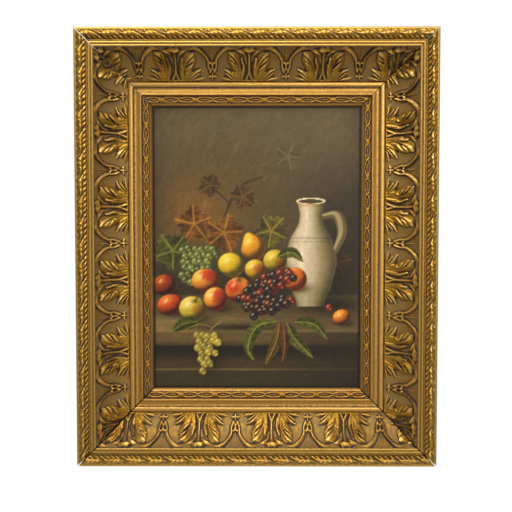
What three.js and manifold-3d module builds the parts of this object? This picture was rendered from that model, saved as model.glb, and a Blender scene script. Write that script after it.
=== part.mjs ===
// A framed oil painting: an ornate gilt frame of eight mitred mouldings round a
// stretched canvas. Millimetres, +Z up. The picture faces -Y, the wall is the plane
// y = 0, and the origin is the middle of the top rail's flat back, where it hangs.
import * as THREE from 'three';
import { mergeVertices } from 'three/addons/utils/BufferGeometryUtils.js';
import Module from 'manifold-3d';

const manifold = await Module();
manifold.setup();

// ---- driving dimensions ----------------------------------------------------
const SIGHT_WIDTH = 291;          // clear opening in front of the picture
const SIGHT_HEIGHT = 395.5;
const RAIL_WIDTH = 101.5;         // outer moulding and inner frame together
const FRAME_WIDTH = SIGHT_WIDTH + 2 * RAIL_WIDTH;
const FRAME_HEIGHT = SIGHT_HEIGHT + 2 * RAIL_WIDTH;
const WALL_POINT_INSET = 33;      // hanging point, below the frame's top edge
const HALF_FIT = 0.15;            // half the gap between two pieces that touch

const OUTER_INNER_EDGE = 68.7;    // inset of the outer moulding's inner side
const COVE_START = 28.7;          // inset where the hollow cove begins
const COVE_CENTRE = 87.4;         // inset and height of the centre of its arc
const COVE_RADIUS = 61.2;
const FILLET_WIDTH = 3.6;         // plain outer edge strip
const LAUREL_END = 16.6;          // inset where the leaf garland ends
const LAUREL_PITCH = 28.9;        // one bay leaf of the garland to the next
const MOTIF_PITCH = 101.2;        // one acanthus stem to the next

const LINER_START = 69.0;         // inset of the inner frame's outer side
const LINER_BACK = 3;             // its back lies this far off the wall
const REBATE_INSET = 94.1;        // recess that takes the canvas
const REBATE_HEIGHT = 20.3;
const RIBBON_PITCH = 23.8;        // one oval of the twisted ribbon to the next

const CANVAS_WIDTH = 304.8;       // 12 by 16 inch canvas
const CANVAS_HEIGHT = 406.4;
const CANVAS_FACE = 20;           // its painted face above the wall
const CLOTH = 0.8;                // thickness of linen and paint
const CANVAS_BACK = 2.5;          // the cloth is folded to here
const BAR_WIDTH = 42;             // stretcher bars behind the canvas
const BAR_BEVEL = 2;              // they fall away from the cloth by this much

// Half the gap at each mitre joint: the frame's have opened with age, each by its own
// amount, and the stretcher's are as they were cut.
const CRACKS = { topLeft: 0.45, topRight: 0.15, bottomLeft: 0.6, bottomRight: 0.6, stretcher: 0.2 };
// Radius of the corners, worn round on the frame and square on the stretcher.
const WORN = { topLeft: 1, topRight: 2, bottomLeft: 3.5, bottomRight: 3.5, stretcher: 0 };

// Each rail looks along its own length: x runs along it, y goes in from the outer
// edge and z rises from the wall. stem is where one acanthus stem stands on it, and
// twist where the ribbon crosses itself on the inner frame beside it.
const RAILS = [
  { name: 'top', turn: 180, from: 'topRight', to: 'topLeft', stem: 10.4, twist: 37 },
  { name: 'right', turn: 90, from: 'bottomRight', to: 'topRight', stem: -43.5, twist: 4 },
  { name: 'bottom', turn: 0, from: 'bottomLeft', to: 'bottomRight', stem: 20.8, twist: 36 },
  { name: 'left', turn: -90, from: 'topLeft', to: 'bottomLeft', stem: 43.5, twist: 20 },
].map((rail) => ({ ...rail, length: rail.turn % 180 === 0 ? FRAME_WIDTH : FRAME_HEIGHT }));

// ---- materials ---------------------------------------------------------------
function giltCompo() {
  return new THREE.MeshStandardMaterial({ color: 0xb88a35, roughness: 0.45, metalness: 0.8 });
}

function burnishedGilt() {
  return new THREE.MeshStandardMaterial({ color: 0xcf9b3a, roughness: 0.35, metalness: 0.85 });
}

function oilPaintedLinen() {
  return new THREE.MeshStandardMaterial({ color: 0x4b4238, roughness: 0.5, metalness: 0 });
}

function barePine() {
  return new THREE.MeshStandardMaterial({ color: 0xc9a873, roughness: 0.8, metalness: 0 });
}

// ---- solids --------------------------------------------------------------------
function toSolid(geometry) {
  geometry.deleteAttribute('normal');
  geometry.deleteAttribute('uv');
  const merged = mergeVertices(geometry, 1e-4);
  return new manifold.Manifold(new manifold.Mesh({
    numProp: 3,
    vertProperties: new Float32Array(merged.attributes.position.array),
    triVerts: new Uint32Array(merged.index.array),
  }));
}

// The outer shell alone, so that no pocket stays shut in under the carving.
function filled(solid) {
  return solid.decompose().reduce((a, b) => (a.volume() > b.volume() ? a : b));
}

function toGeometry(solid) {
  const mesh = solid.getMesh();
  const geometry = new THREE.BufferGeometry();
  geometry.setAttribute('position', new THREE.BufferAttribute(mesh.vertProperties, 3));
  geometry.setIndex(new THREE.BufferAttribute(mesh.triVerts, 1));
  geometry.computeVertexNormals();
  return geometry;
}

function indexedSolid(points, triangles) {
  const geometry = new THREE.BufferGeometry();
  geometry.setAttribute('position', new THREE.Float32BufferAttribute(points.flat(), 3));
  geometry.setIndex(triangles.flat());
  return toSolid(geometry);
}

function extrudeUp(outline, bottom, top) {
  const shape = new THREE.Shape(outline.map(([x, y]) => new THREE.Vector2(x, y)));
  const geometry = new THREE.ExtrudeGeometry(shape, { depth: top - bottom, bevelEnabled: false });
  geometry.translate(0, 0, bottom);
  return toSolid(geometry);
}

// ---- mouldings -----------------------------------------------------------------
// A moulding is a list of rows, going up the outer side, over the face, down the
// inner side and back along the wall. A row has an inset and a list of [x, height].

// How far from the rail's middle a row ends: on the 45 degree mitre, less its share
// of the open joint, or on the worn round of the outer corner. side is 1 or -1.
function rowEnd(rail, inset, side) {
  const corner = side > 0 ? rail.to : rail.from;
  const half = rail.length / 2 - CRACKS[corner] * Math.SQRT2;
  const worn = WORN[corner];
  const bite = worn - Math.min(inset, worn);
  return Math.min(half - inset, half - worn + Math.sqrt(worn * worn - bite * bite));
}

function plainRow(rail, inset, height) {
  return {
    inset,
    stations: [[-rowEnd(rail, inset, -1), height], [rowEnd(rail, inset, 1), height]],
  };
}

// A row that rises and falls along the rail: one wave holds [share of pitch, height],
// and one of them starts at origin.
function wavyRow(rail, inset, origin, pitch, restHeight, wave) {
  const [start, end] = plainRow(rail, inset, restHeight).stations;
  const stations = [start];
  const first = Math.floor((start[0] - origin) / pitch);
  const last = Math.ceil((end[0] - origin) / pitch);
  const clear = 2;
  for (let k = first; k <= last; k += 1) {
    for (const [share, height] of wave) {
      const x = origin + (k + share) * pitch;
      if (x > start[0] + clear && x < end[0] - clear) {
        stations.push([x, height]);
      }
    }
  }
  stations.push(end);
  return { inset, stations };
}

// Triangles between two rows, always closing the gap by the shorter diagonal.
function zipRows(rowA, rowB, triangles) {
  const along = (row, k) => (k < row.stations.length ? row.stations[k][0] : Infinity);
  let i = 0;
  let j = 0;
  while (i < rowA.stations.length - 1 || j < rowB.stations.length - 1) {
    const viaA = Math.abs(along(rowA, i + 1) - along(rowB, j));
    const viaB = Math.abs(along(rowB, j + 1) - along(rowA, i));
    if (viaA <= viaB) {
      triangles.push([rowA.first + i, rowA.first + i + 1, rowB.first + j]);
      i += 1;
    } else {
      triangles.push([rowA.first + i, rowB.first + j + 1, rowB.first + j]);
      j += 1;
    }
  }
}

function endCap(rows, endOf, outward, triangles) {
  const outline = rows.map((row) => new THREE.Vector2(row.inset, endOf(row).height));
  const corners = rows.map((row) => endOf(row).index);
  for (const [a, b, c] of THREE.ShapeUtils.triangulateShape(outline, [])) {
    const turn = (outline[b].x - outline[a].x) * (outline[c].y - outline[a].y)
      - (outline[b].y - outline[a].y) * (outline[c].x - outline[a].x);
    const facesUp = turn > 0 ? 1 : -1;
    const order = facesUp === outward ? [a, b, c] : [a, c, b];
    triangles.push(order.map((k) => corners[k]));
  }
}

function mouldingSolid(rows) {
  const points = [];
  for (const row of rows) {
    row.first = points.length;
    for (const [x, height] of row.stations) {
      points.push([x, row.inset, height]);
    }
  }
  const triangles = [];
  rows.forEach((row, k) => zipRows(row, rows[(k + 1) % rows.length], triangles));
  const start = (row) => ({ index: row.first, height: row.stations[0][1] });
  const end = (row) => {
    const last = row.stations.length - 1;
    return { index: row.first + last, height: row.stations[last][1] };
  };
  endCap(rows, start, -1, triangles);
  endCap(rows, end, 1, triangles);
  return indexedSolid(points, triangles);
}

// The prism that carving is cut to at the mitres, a hair inside the rail's own ends.
function mitrePrism(rail) {
  const aboveAll = 90;
  const deep = RAIL_WIDTH;
  const hair = 0.05;
  const left = -rowEnd(rail, deep, -1) + hair;
  const right = rowEnd(rail, deep, 1) - hair;
  const outline = [[left - deep, 0], [right + deep, 0], [right, deep], [left, deep]];
  return extrudeUp(outline, 0, aboveAll);
}

// ---- outer moulding --------------------------------------------------------------
function coveHeight(inset) {
  const run = COVE_CENTRE - inset;
  return COVE_CENTRE - Math.sqrt(COVE_RADIUS * COVE_RADIUS - run * run);
}

// A point over the cove: x along the rail, across from its inner edge, rise off it.
function overCove(x, across, rise) {
  const inset = OUTER_INNER_EDGE - across;
  const slope = new THREE.Vector2(COVE_CENTRE - inset, COVE_CENTRE - coveHeight(inset)).normalize();
  return [x, inset + slope.x * rise, coveHeight(inset) + slope.y * rise];
}

// Rows of the leaf garland: a long drop leaf that swells and tapers to its tip, with
// short leaves lying against both of its sides.
function laurelRows(rail) {
  const row = (inset, rest, wave) => wavyRow(rail, inset, rail.stem, LAUREL_PITCH, rest, wave);
  return [
    row(6.4, 64.5, [[0.15, 67.2], [0.65, 63.6]]),
    row(10.4, 67, [[0.04, 66.4], [0.6, 70.8]]),
    row(14.0, 64.5, [[0.3, 68.4], [0.85, 64.2]]),
  ];
}

function outerProfile(rail) {
  const plain = (inset, height) => plainRow(rail, inset, height);
  const rows = [
    plain(0, 0),
    plain(0, 60.2),
    plain(1.2, 61.6),
    plain(FILLET_WIDTH, 62),
    ...laurelRows(rail),
    plain(LAUREL_END, 63.6),
    plain(17.8, 66),
    plain(19, 65.2),
    plain(21.2, 68),
    plain(23.4, 67.8),
    plain(25.8, 71.4),
    plain(27.6, 71.2),
  ];
  const coveSteps = 3;
  for (let k = 0; k <= coveSteps; k += 1) {
    // Closer steps where the arc stands steepest.
    const across = Math.pow(k / coveSteps, 1.5);
    const inset = COVE_START + (OUTER_INNER_EDGE - COVE_START) * across;
    rows.push(plain(inset, coveHeight(inset)));
  }
  rows.push(plain(OUTER_INNER_EDGE, 0));
  return rows;
}

// A carved leaf lying on the cove. spine is a list of [x, across] from root to tip;
// outside and inside give its width on either hand at each of those points.
function carvedLeaf(spine, outside, inside, rise, hand) {
  const sunk = -1.2;
  const keel = -2.4;
  const points = [];
  const triangles = [];
  const last = spine.length - 1;
  const edge = (k, width, side) => {
    const before = spine[Math.max(k - 1, 0)];
    const after = spine[Math.min(k + 1, last)];
    const along = new THREE.Vector2(after[0] - before[0], after[1] - before[1]).normalize();
    return [spine[k][0] + along.y * width * side, spine[k][1] - along.x * width * side];
  };
  spine.forEach((point, k) => {
    const swell = Math.sin(Math.PI * (0.18 + 0.7 * (k / last)));
    const out = edge(k, outside[k], 1);
    const into = edge(k, inside[k], -1);
    points.push(overCove(hand * point[0], point[1], rise * swell));
    points.push(overCove(hand * out[0], out[1], sunk));
    points.push(overCove(hand * into[0], into[1], sunk));
    points.push(overCove(hand * point[0], point[1], keel));
  });
  const at = (k, corner) => 4 * k + corner;
  const quad = (a, b, c, d) => triangles.push([a, b, c], [a, c, d]);
  for (let k = 0; k < last; k += 1) {
    quad(at(k, 0), at(k, 1), at(k + 1, 1), at(k + 1, 0));
    quad(at(k, 1), at(k, 3), at(k + 1, 3), at(k + 1, 1));
    quad(at(k, 3), at(k, 2), at(k + 1, 2), at(k + 1, 3));
    quad(at(k, 2), at(k, 0), at(k + 1, 0), at(k + 1, 2));
  }
  quad(at(0, 0), at(0, 2), at(0, 3), at(0, 1));
  quad(at(last, 0), at(last, 1), at(last, 3), at(last, 2));
  const outward = hand < 0 ? triangles : triangles.map(([a, b, c]) => [a, c, b]);
  return indexedSolid(points, outward);
}

// Points of a spine bent from root to tip, bow being how far its middle swings out.
function bentSpine(root, tip, bow, steps) {
  const spine = [];
  const run = new THREE.Vector2(tip[0] - root[0], tip[1] - root[1]);
  const aside = new THREE.Vector2(run.y, -run.x).normalize();
  for (let k = 0; k <= steps; k += 1) {
    const t = k / steps;
    const swing = bow * Math.sin(Math.PI * t);
    spine.push([root[0] + run.x * t + aside.x * swing, root[1] + run.y * t + aside.y * swing]);
  }
  return spine;
}

// Widths that go out to each finger's tip and back to the notch after it.
function fingerWidths(steps, wide, notch) {
  return Array.from({ length: steps + 1 }, (_, k) => {
    const taper = 1 - 0.35 * (k / steps);
    return (k % 2 === 1 ? wide : notch) * taper;
  });
}

function evenWidths(steps, wide) {
  return Array.from({ length: steps + 1 }, (_, k) => wide * Math.sin(Math.PI * (0.12 + 0.8 * (k / steps))));
}

function acanthusHalf(hand) {
  const leaves = [];
  const add = (root, tip, bow, steps, outside, inside, rise) => {
    leaves.push(carvedLeaf(bentSpine(root, tip, bow, steps), outside, inside, rise, hand));
  };
  // the main leaf, with its fingers on the side away from the stem
  add([11, 3], [17, 32], 1, 4, fingerWidths(4, 11, 4), evenWidths(4, 6.5), 6);
  // the lower leaf, curling out along the inner edge
  add([18, 1], [33, 12], -2, 3, fingerWidths(3, 7, 2.6), evenWidths(3, 6), 4.6);
  // the rib that swings out to the outer edge
  add([44, 17], [24, 37.5], 7, 3, evenWidths(3, 2.4), evenWidths(3, 2.4), 3.4);
  return leaves;
}

function acanthusMotif() {
  const middle = MOTIF_PITCH / 2;
  const stemWidths = [6, 2, 1.8, 1.6];
  const stem = carvedLeaf(bentSpine([0, 0.3], [0, 33], 0, 3), stemWidths, stemWidths, 2.4, 1);
  const bud = carvedLeaf([[0, 30], [0, 38]], [4, 8], [4, 8], 4.4, 1);
  const bellWidths = [4, 7, 1.4];
  const bell = carvedLeaf(bentSpine([middle, 9], [middle, 31], 0, 2), bellWidths, bellWidths, 4, 1);
  return [stem, bud, bell, ...acanthusHalf(1), ...acanthusHalf(-1)];
}

// Every stem's place along the rail, with the half motifs that run into the mitres.
function stemPlaces(rail) {
  const reach = (rail.length + MOTIF_PITCH) / 2;
  const first = Math.ceil((-reach - rail.stem) / MOTIF_PITCH);
  const last = Math.floor((reach - rail.stem) / MOTIF_PITCH);
  return Array.from({ length: last - first + 1 }, (_, k) => rail.stem + (first + k) * MOTIF_PITCH);
}

function outerRail(rail) {
  const motif = acanthusMotif();
  const prism = mitrePrism(rail);
  let solid = mouldingSolid(outerProfile(rail));
  for (const place of stemPlaces(rail)) {
    for (const leaf of motif) {
      const carved = leaf.translate([place, 0, 0]).intersect(prism);
      solid = carved.isEmpty() ? solid : solid.add(carved);
    }
  }
  return filled(solid);
}

// ---- inner frame ---------------------------------------------------------------
// The twisted ribbon: its two strands part round each oval and cross between them.
function ribbonRows(rail) {
  const rest = 29;
  const row = (inset, wave) => wavyRow(rail, inset, rail.twist, RIBBON_PITCH, rest, wave);
  return [
    row(90.6, [[0, 28.9], [0.5, 30.9]]),
    row(93.4, [[0, 31.2], [0.5, 28.6]]),
    row(96.2, [[0, 28.7], [0.5, 30.5]]),
  ];
}

function linerProfile(rail) {
  const plain = (inset, height) => plainRow(rail, inset, height);
  return [
    plain(LINER_START, LINER_BACK),
    plain(LINER_START, 31),
    plain(70, 32.4),
    plain(74.6, 32.8),
    plain(76, 31.4),
    plain(77.2, 30),
    plain(80, 29.6),
    plain(84.5, 31.4),
    plain(87.2, 32.4),
    plain(87.6, 28.8),
    plain(89.2, 28.2),
    ...ribbonRows(rail),
    plain(97.4, 28),
    plain(99, 26.6),
    plain(101.2, 23.6),
    plain(RAIL_WIDTH, REBATE_HEIGHT + 0.4),
    plain(RAIL_WIDTH, REBATE_HEIGHT),
    plain(REBATE_INSET, REBATE_HEIGHT),
    plain(REBATE_INSET, LINER_BACK),
  ];
}

// ---- picture ---------------------------------------------------------------------
function boxSolid(width, height, bottom, top) {
  const geometry = new THREE.BoxGeometry(width, height, top - bottom);
  geometry.translate(0, 0, (top + bottom) / 2);
  return toSolid(geometry);
}

function canvasSolid() {
  const outer = boxSolid(CANVAS_WIDTH, CANVAS_HEIGHT, CANVAS_BACK, CANVAS_FACE);
  const inside = boxSolid(CANVAS_WIDTH - 2 * CLOTH, CANVAS_HEIGHT - 2 * CLOTH, -1, CANVAS_FACE - CLOTH);
  return outer.subtract(inside);
}

// A stretcher bar's rows lie in the same local frame, from the canvas's edge inwards.
function stretcherProfile(bar) {
  const clear = CLOTH + 2 * HALF_FIT;
  const top = CANVAS_FACE - CLOTH - 2 * HALF_FIT;
  const plain = (inset, height) => plainRow(bar, inset, height);
  return [
    plain(clear, CANVAS_BACK),
    plain(clear, top),
    plain(clear + 3, top),
    plain(BAR_WIDTH, top - BAR_BEVEL),
    plain(BAR_WIDTH, CANVAS_BACK),
  ];
}

// ---- assembly ----------------------------------------------------------------------
const framedPainting = new THREE.Group();
const centreZ = WALL_POINT_INSET - FRAME_HEIGHT / 2;

function named(name, solid, material) {
  const mesh = new THREE.Mesh(toGeometry(solid), material);
  mesh.name = name;
  return mesh;
}

// Stands a rail's local frame up on the wall, at the edge of a width by height panel.
function seat(mesh, turn, width, height) {
  const onEdge = new THREE.Group();
  const upright = turn % 180 === 0;
  onEdge.position.y = -(upright ? height : width) / 2;
  onEdge.add(mesh);
  const turned = new THREE.Group();
  turned.rotation.z = THREE.MathUtils.degToRad(turn);
  turned.add(onEdge);
  const stood = new THREE.Group();
  stood.rotation.x = Math.PI / 2;
  stood.position.z = centreZ;
  stood.add(turned);
  return stood;
}

for (const rail of RAILS) {
  const moulding = named(`${rail.name}_moulding`, outerRail(rail), giltCompo());
  framedPainting.add(seat(moulding, rail.turn, FRAME_WIDTH, FRAME_HEIGHT));
}

for (const rail of RAILS) {
  const liner = named(`${rail.name}_inner_frame`, mouldingSolid(linerProfile(rail)), burnishedGilt());
  framedPainting.add(seat(liner, rail.turn, FRAME_WIDTH, FRAME_HEIGHT));
}

const canvas = named('canvas', canvasSolid(), oilPaintedLinen());
canvas.rotation.x = Math.PI / 2;
canvas.position.z = centreZ;
framedPainting.add(canvas);

for (const rail of RAILS) {
  const length = rail.turn % 180 === 0 ? CANVAS_WIDTH : CANVAS_HEIGHT;
  const bar = { length, from: 'stretcher', to: 'stretcher' };
  const solid = mouldingSolid(stretcherProfile(bar));
  const mesh = named(`${rail.name}_stretcher_bar`, solid, barePine());
  framedPainting.add(seat(mesh, rail.turn, CANVAS_WIDTH, CANVAS_HEIGHT));
}

export default framedPainting;
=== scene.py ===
"""The looks of a framed oil painting: a carved and gilt frame of eight mitred mouldings
round a stretched canvas. Metres, +Z up, the picture faces -Y and the wall is y = 0.
Sizes of the mouldings are in millimetres, as a frame maker gives them."""
import math
import bpy
import numpy as np
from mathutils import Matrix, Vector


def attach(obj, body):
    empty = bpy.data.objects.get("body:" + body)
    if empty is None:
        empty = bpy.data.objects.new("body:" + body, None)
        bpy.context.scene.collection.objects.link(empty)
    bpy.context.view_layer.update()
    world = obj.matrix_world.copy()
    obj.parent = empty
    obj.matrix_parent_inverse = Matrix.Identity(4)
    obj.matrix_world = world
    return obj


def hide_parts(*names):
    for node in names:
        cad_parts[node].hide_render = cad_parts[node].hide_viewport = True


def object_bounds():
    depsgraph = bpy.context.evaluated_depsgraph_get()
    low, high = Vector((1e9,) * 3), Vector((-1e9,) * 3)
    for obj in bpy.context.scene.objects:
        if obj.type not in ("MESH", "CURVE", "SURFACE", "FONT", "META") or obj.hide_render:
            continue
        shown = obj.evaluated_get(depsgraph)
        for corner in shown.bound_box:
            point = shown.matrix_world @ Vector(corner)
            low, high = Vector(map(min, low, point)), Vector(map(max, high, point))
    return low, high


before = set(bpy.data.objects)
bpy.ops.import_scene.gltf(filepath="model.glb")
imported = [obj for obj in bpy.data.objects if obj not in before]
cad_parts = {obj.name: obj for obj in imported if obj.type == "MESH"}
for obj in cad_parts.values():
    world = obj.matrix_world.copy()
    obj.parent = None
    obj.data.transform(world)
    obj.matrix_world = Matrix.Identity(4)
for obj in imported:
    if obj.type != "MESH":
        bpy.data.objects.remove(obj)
cad_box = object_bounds()

# ---- Camera ------------------------------------------------------------------
# A 60 mm lens straight in front, a little above the middle of the picture and
# looking slightly down at it.
MM = 0.001
low, high = cad_box
FRAME_WIDTH = (high.x - low.x) / MM
FRAME_HEIGHT = (high.z - low.z) / MM
MIDDLE_Z = (high.z + low.z) / 2 / MM
EYE = (4.2, -1220, MIDDLE_Z + 43.3)

lens = bpy.data.cameras.new("camera")
lens.lens = 60
lens.sensor_width = 36
camera = bpy.data.objects.new("camera", lens)
camera.location = [v * MM for v in EYE]
camera.rotation_euler = (math.radians(87.4), 0, math.radians(0.25))
bpy.context.scene.collection.objects.link(camera)
bpy.context.scene.camera = camera

# ---- Outer mouldings: shape ----------------------------------------------------
# Four lengths of pine moulding, faced with cast composition ornament and gilded: a
# plain fillet, a garland of bay leaves, reeds, and a hollow cove with acanthus. They
# are mitred and glued, and the corners have opened and worn.
OUTER_INNER_EDGE = 68.7
COVE_START = 28.7
COVE_CENTRE = 87.4
COVE_RADIUS = 61.2
FILLET_WIDTH = 3.6
LAUREL_END = 16.9
LAUREL_PITCH = 28.9
LAUREL_BAYS = 7
MOTIF_PITCH = 101.2
TOP_LIMIT = 71.4
# Half of each open mitre, and the round that wear has given each corner.
CRACKS = {"topLeft": 0.45, "topRight": 0.15, "bottomLeft": 0.6, "bottomRight": 0.6}
WORN = {"topLeft": 1.0, "topRight": 2.0, "bottomLeft": 3.5, "bottomRight": 3.5}
# name: (length, stem of one acanthus, corner it starts from, corner it ends at)
RAILS = {
    "top": (FRAME_WIDTH, 10.4, "topRight", "topLeft"),
    "right": (FRAME_HEIGHT, -43.5, "bottomRight", "topRight"),
    "bottom": (FRAME_WIDTH, 20.8, "bottomLeft", "bottomRight"),
    "left": (FRAME_HEIGHT, 43.5, "topLeft", "bottomLeft"),
}
dice = np.random.default_rng(7)


class Carving:
    """One repeat of a carved strip as heights over its ground, in millimetres: along
    the rail it wraps round, and across it runs from one inset to another."""

    def __init__(self, repeat, inner, outer, step=0.3, fullness=1.0):
        self.fullness = fullness
        self.repeat = repeat
        self.first = inner
        along = int(round(repeat / step))
        across = int(round((outer - inner) / step)) + 1
        self.x = np.arange(along) * repeat / along
        self.y = np.linspace(inner, outer, across)
        self.height = np.zeros((across, along))

    def nearest(self, path):
        """How far each place is from a smooth line, and where on it the nearest is."""
        line = smooth_line(path)
        best = np.full(self.height.shape, 1e9)
        place = np.zeros(self.height.shape)
        for k, (px, py) in enumerate(line):
            dx = (self.x - px + self.repeat / 2) % self.repeat - self.repeat / 2
            far = dx[None, :] ** 2 + (self.y[:, None] - py) ** 2
            nearer = far < best
            best = np.where(nearer, far, best)
            place = np.where(nearer, k / (len(line) - 1), place)
        return np.sqrt(best), place

    def ridge(self, path, widths, heights, roundness=0.75, over=False):
        """Raises a rounded ridge along a line, as wide and high as given from its root
        to its tip; over lays it on top of what is there."""
        far, place = self.nearest(path)
        wide = self.fullness * np.interp(place, np.linspace(0, 1, len(widths)), widths)
        high = np.interp(place, np.linspace(0, 1, len(heights)), heights)
        swell = np.clip(1 - (far / wide) ** 2, 0, 1) ** roundness * high
        if over:
            self.height = self.height + swell
        else:
            self.height = np.maximum(self.height, swell)

    def groove(self, path, widths, depths):
        far, place = self.nearest(path)
        wide = np.interp(place, np.linspace(0, 1, len(widths)), widths)
        deep = np.interp(place, np.linspace(0, 1, len(depths)), depths)
        self.height = self.height - np.clip(1 - (far / wide) ** 2, 0, 1) * deep

    def softened(self, radius):
        """The heights with everything smaller than a radius smoothed away."""
        tall = np.concatenate([self.height, self.height[::-1]])
        fy = np.fft.fftfreq(tall.shape[0], self.y[1] - self.y[0])[:, None]
        fx = np.fft.fftfreq(tall.shape[1], self.x[1] - self.x[0])[None, :]
        blur = np.exp(-2 * (math.pi * radius) ** 2 * (fx ** 2 + fy ** 2))
        return np.real(np.fft.ifft2(np.fft.fft2(tall) * blur))[: len(self.y)]

    def sample(self, field, along, inset):
        """A field's value at places along the rail and in from its outer edge."""
        fx = (along % self.repeat) / self.repeat * len(self.x)
        fy = np.clip((inset - self.y[0]) / (self.y[1] - self.y[0]), 0, len(self.y) - 1.001)
        ix, iy = np.floor(fx).astype(int), np.floor(fy).astype(int)
        tx, ty = fx - ix, fy - iy
        ix, jx = ix % len(self.x), (ix + 1) % len(self.x)
        near = field[iy, ix] * (1 - tx) + field[iy, jx] * tx
        far = field[iy + 1, ix] * (1 - tx) + field[iy + 1, jx] * tx
        return near * (1 - ty) + far * ty


def smooth_line(path, step=0.4):
    """Points close together on a smooth curve through a few."""
    path = np.array(path, float)
    ends = np.vstack([2 * path[0] - path[1], path, 2 * path[-1] - path[-2]])
    line = []
    for k in range(len(path) - 1):
        a, b, c, d = ends[k : k + 4]
        count = max(2, int(np.hypot(*(c - b)) / step))
        for t in np.arange(count) / count:
            line.append(
                0.5 * (2 * b + (c - a) * t + (2 * a - 5 * b + 4 * c - d) * t * t
                       + (3 * b - a - 3 * c + d) * t ** 3)
            )
    line.append(path[-1])
    return np.array(line)


def acanthus():
    """One repeat of the cove: x is measured from the stem, y is the inset."""
    carve = Carving(MOTIF_PITCH, COVE_START, OUTER_INNER_EDGE, fullness=1.2)
    # the stem, which parts in two where it meets the inner edge
    carve.ridge([(0, 32), (-0.3, 42), (0, 56)], [1.7, 1.5, 1.4], [3.4, 3.0, 2.6])
    carve.ridge([(0, 55), (-1.6, 60), (-4.2, 67)], [1.4, 1.5, 1.9], [2.6, 2.6, 3.0])
    carve.ridge([(0, 55), (1.8, 60), (5.0, 67)], [1.4, 1.5, 1.9], [2.6, 2.6, 3.0])
    # the bud at the head of the stem, and the small leaves curling from it
    carve.ridge([(-9, 32.2), (-5, 30.6), (0, 31.4), (4, 30.8), (9, 31.6)], [0.8, 1.8, 1.9, 1.8, 0.8], [1.6, 3.8, 4.2, 3.8, 1.6])
    carve.ridge([(4.5, 37.2), (6.5, 34.4), (10.5, 32.8), (16, 32.0)], [0.8, 1.7, 1.5, 0.7], [2.2, 3.2, 2.8, 1.2])
    carve.ridge([(-4.5, 37.5), (-7.5, 34.8), (-11.5, 32.8), (-15.5, 32.6)], [0.7, 1.2, 1.3, 0.7], [1.6, 2.4, 2.2, 1.0])
    # the blades of the leaves, broad and low, on which their fingers stand
    carve.ridge([(-13, 66), (-15, 53), (-19.5, 42)], [2.6, 6.4, 7.4], [2.2, 3.0, 2.6], 0.4)
    carve.ridge([(14, 64), (16.5, 52), (21, 41)], [2.4, 5.0, 7.0], [2.2, 3.0, 2.6], 0.4)
    carve.ridge([(-9, 66), (-8, 48)], [2.4, 3.0], [2.0, 3.2], 0.4)
    for side in (-1, 1):
        carve.ridge([(side * 16, 68), (side * 22, 62), (side * 29, 58)], [4.4, 5.4, 3.4], [2.6, 2.8, 1.6], 0.4)
        carve.ridge([(side * 20, 68.6), (side * 36, 66)], [2.0, 1.4], [2.0, 1.0], 0.4)
    # the left leaf: a lobe beside the stem, and three fingers thrown outward
    carve.ridge([(-12, 67), (-11, 58), (-8.5, 50), (-9.5, 41)], [1.4, 1.1, 2.7, 1.8], [2.2, 2.2, 5.4, 4.2])
    carve.ridge([(-7.6, 67), (-6.4, 58), (-6.6, 50), (-6.4, 46)], [1.1, 1.0, 1.3, 0.7], [2.2, 2.2, 3.0, 2.6])
    carve.ridge([(-12, 67), (-10.8, 58), (-12.2, 51), (-16, 44)], [1.9, 1.4, 2.0, 2.4], [2.6, 2.8, 4.2, 4.4])
    carve.ridge([(-13, 49), (-15.5, 42), (-20, 37), (-26, 34.5)], [1.6, 2.4, 2.7, 1.0], [3.6, 4.8, 5.0, 3.0])
    carve.ridge([(-14, 49), (-17.5, 44), (-21, 41.5), (-26, 39.8)], [1.6, 2.3, 2.3, 0.9], [3.6, 4.8, 5.0, 3.2])
    carve.ridge([(-12.5, 53), (-16.5, 51), (-20.5, 48), (-25, 45)], [1.4, 2.4, 2.4, 0.9], [3.4, 4.8, 5.0, 3.0])
    carve.ridge([(-13.5, 51), (-16, 53.5), (-18.5, 54.2)], [1.6, 1.9, 0.8], [3.4, 4.2, 2.6])
    # the right leaf: a long ridge beside the stem, a thin rib and four fingers
    carve.ridge([(11.5, 67), (9.2, 57), (7.6, 49), (10.3, 40)], [2.2, 2.3, 2.0, 1.2], [3.4, 4.2, 5.2, 3.8])
    carve.ridge([(13.5, 60), (13.6, 52), (15, 44), (19, 37.5)], [1.0, 1.2, 1.4, 1.4], [2.2, 3.0, 3.8, 4.2])
    carve.ridge([(15, 47), (17.5, 40.5), (21, 36.2), (27, 33.6)], [1.4, 2.0, 2.4, 1.0], [3.6, 4.8, 5.0, 3.0])
    carve.ridge([(15.4, 48), (18.5, 43.4), (22, 40.6), (27, 38.6)], [1.4, 1.9, 2.0, 0.9], [3.6, 4.6, 4.8, 3.0])
    carve.ridge([(15.6, 50), (18.5, 47.5), (21.5, 45.4), (25.6, 43.6)], [1.4, 2.0, 2.2, 0.9], [3.6, 4.6, 4.8, 2.8])
    carve.ridge([(15.6, 49), (17.8, 52.0), (19.4, 55)], [1.6, 2.2, 0.9], [3.6, 4.4, 2.4])
    # the lower leaves, curling out along the inner edge
    for side, lift in ((-1, 0.0), (1, -0.6)):
        carve.ridge([(side * 15, 68), (side * 18, 62), (side * 20.5, 56.5)], [3.2, 2.8, 1.2], [3.4, 4.4, 3.0])
        carve.ridge([(side * 18, 67.5), (side * 23, 60.5), (side * 28, 55.5), (side * 34.5, 53 + lift)], [2.4, 1.9, 1.9, 0.8], [3.2, 3.8, 4.2, 2.4])
        carve.ridge([(side * 20, 68), (side * 26.5, 62), (side * 32, 58.4 + lift)], [2.2, 1.4, 0.8], [3.0, 3.0, 1.8])
        carve.ridge([(side * 20, 68.4), (side * 29.5, 65.2), (side * 39, 64 + lift)], [1.6, 1.4, 0.7], [2.8, 2.6, 1.4])
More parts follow.
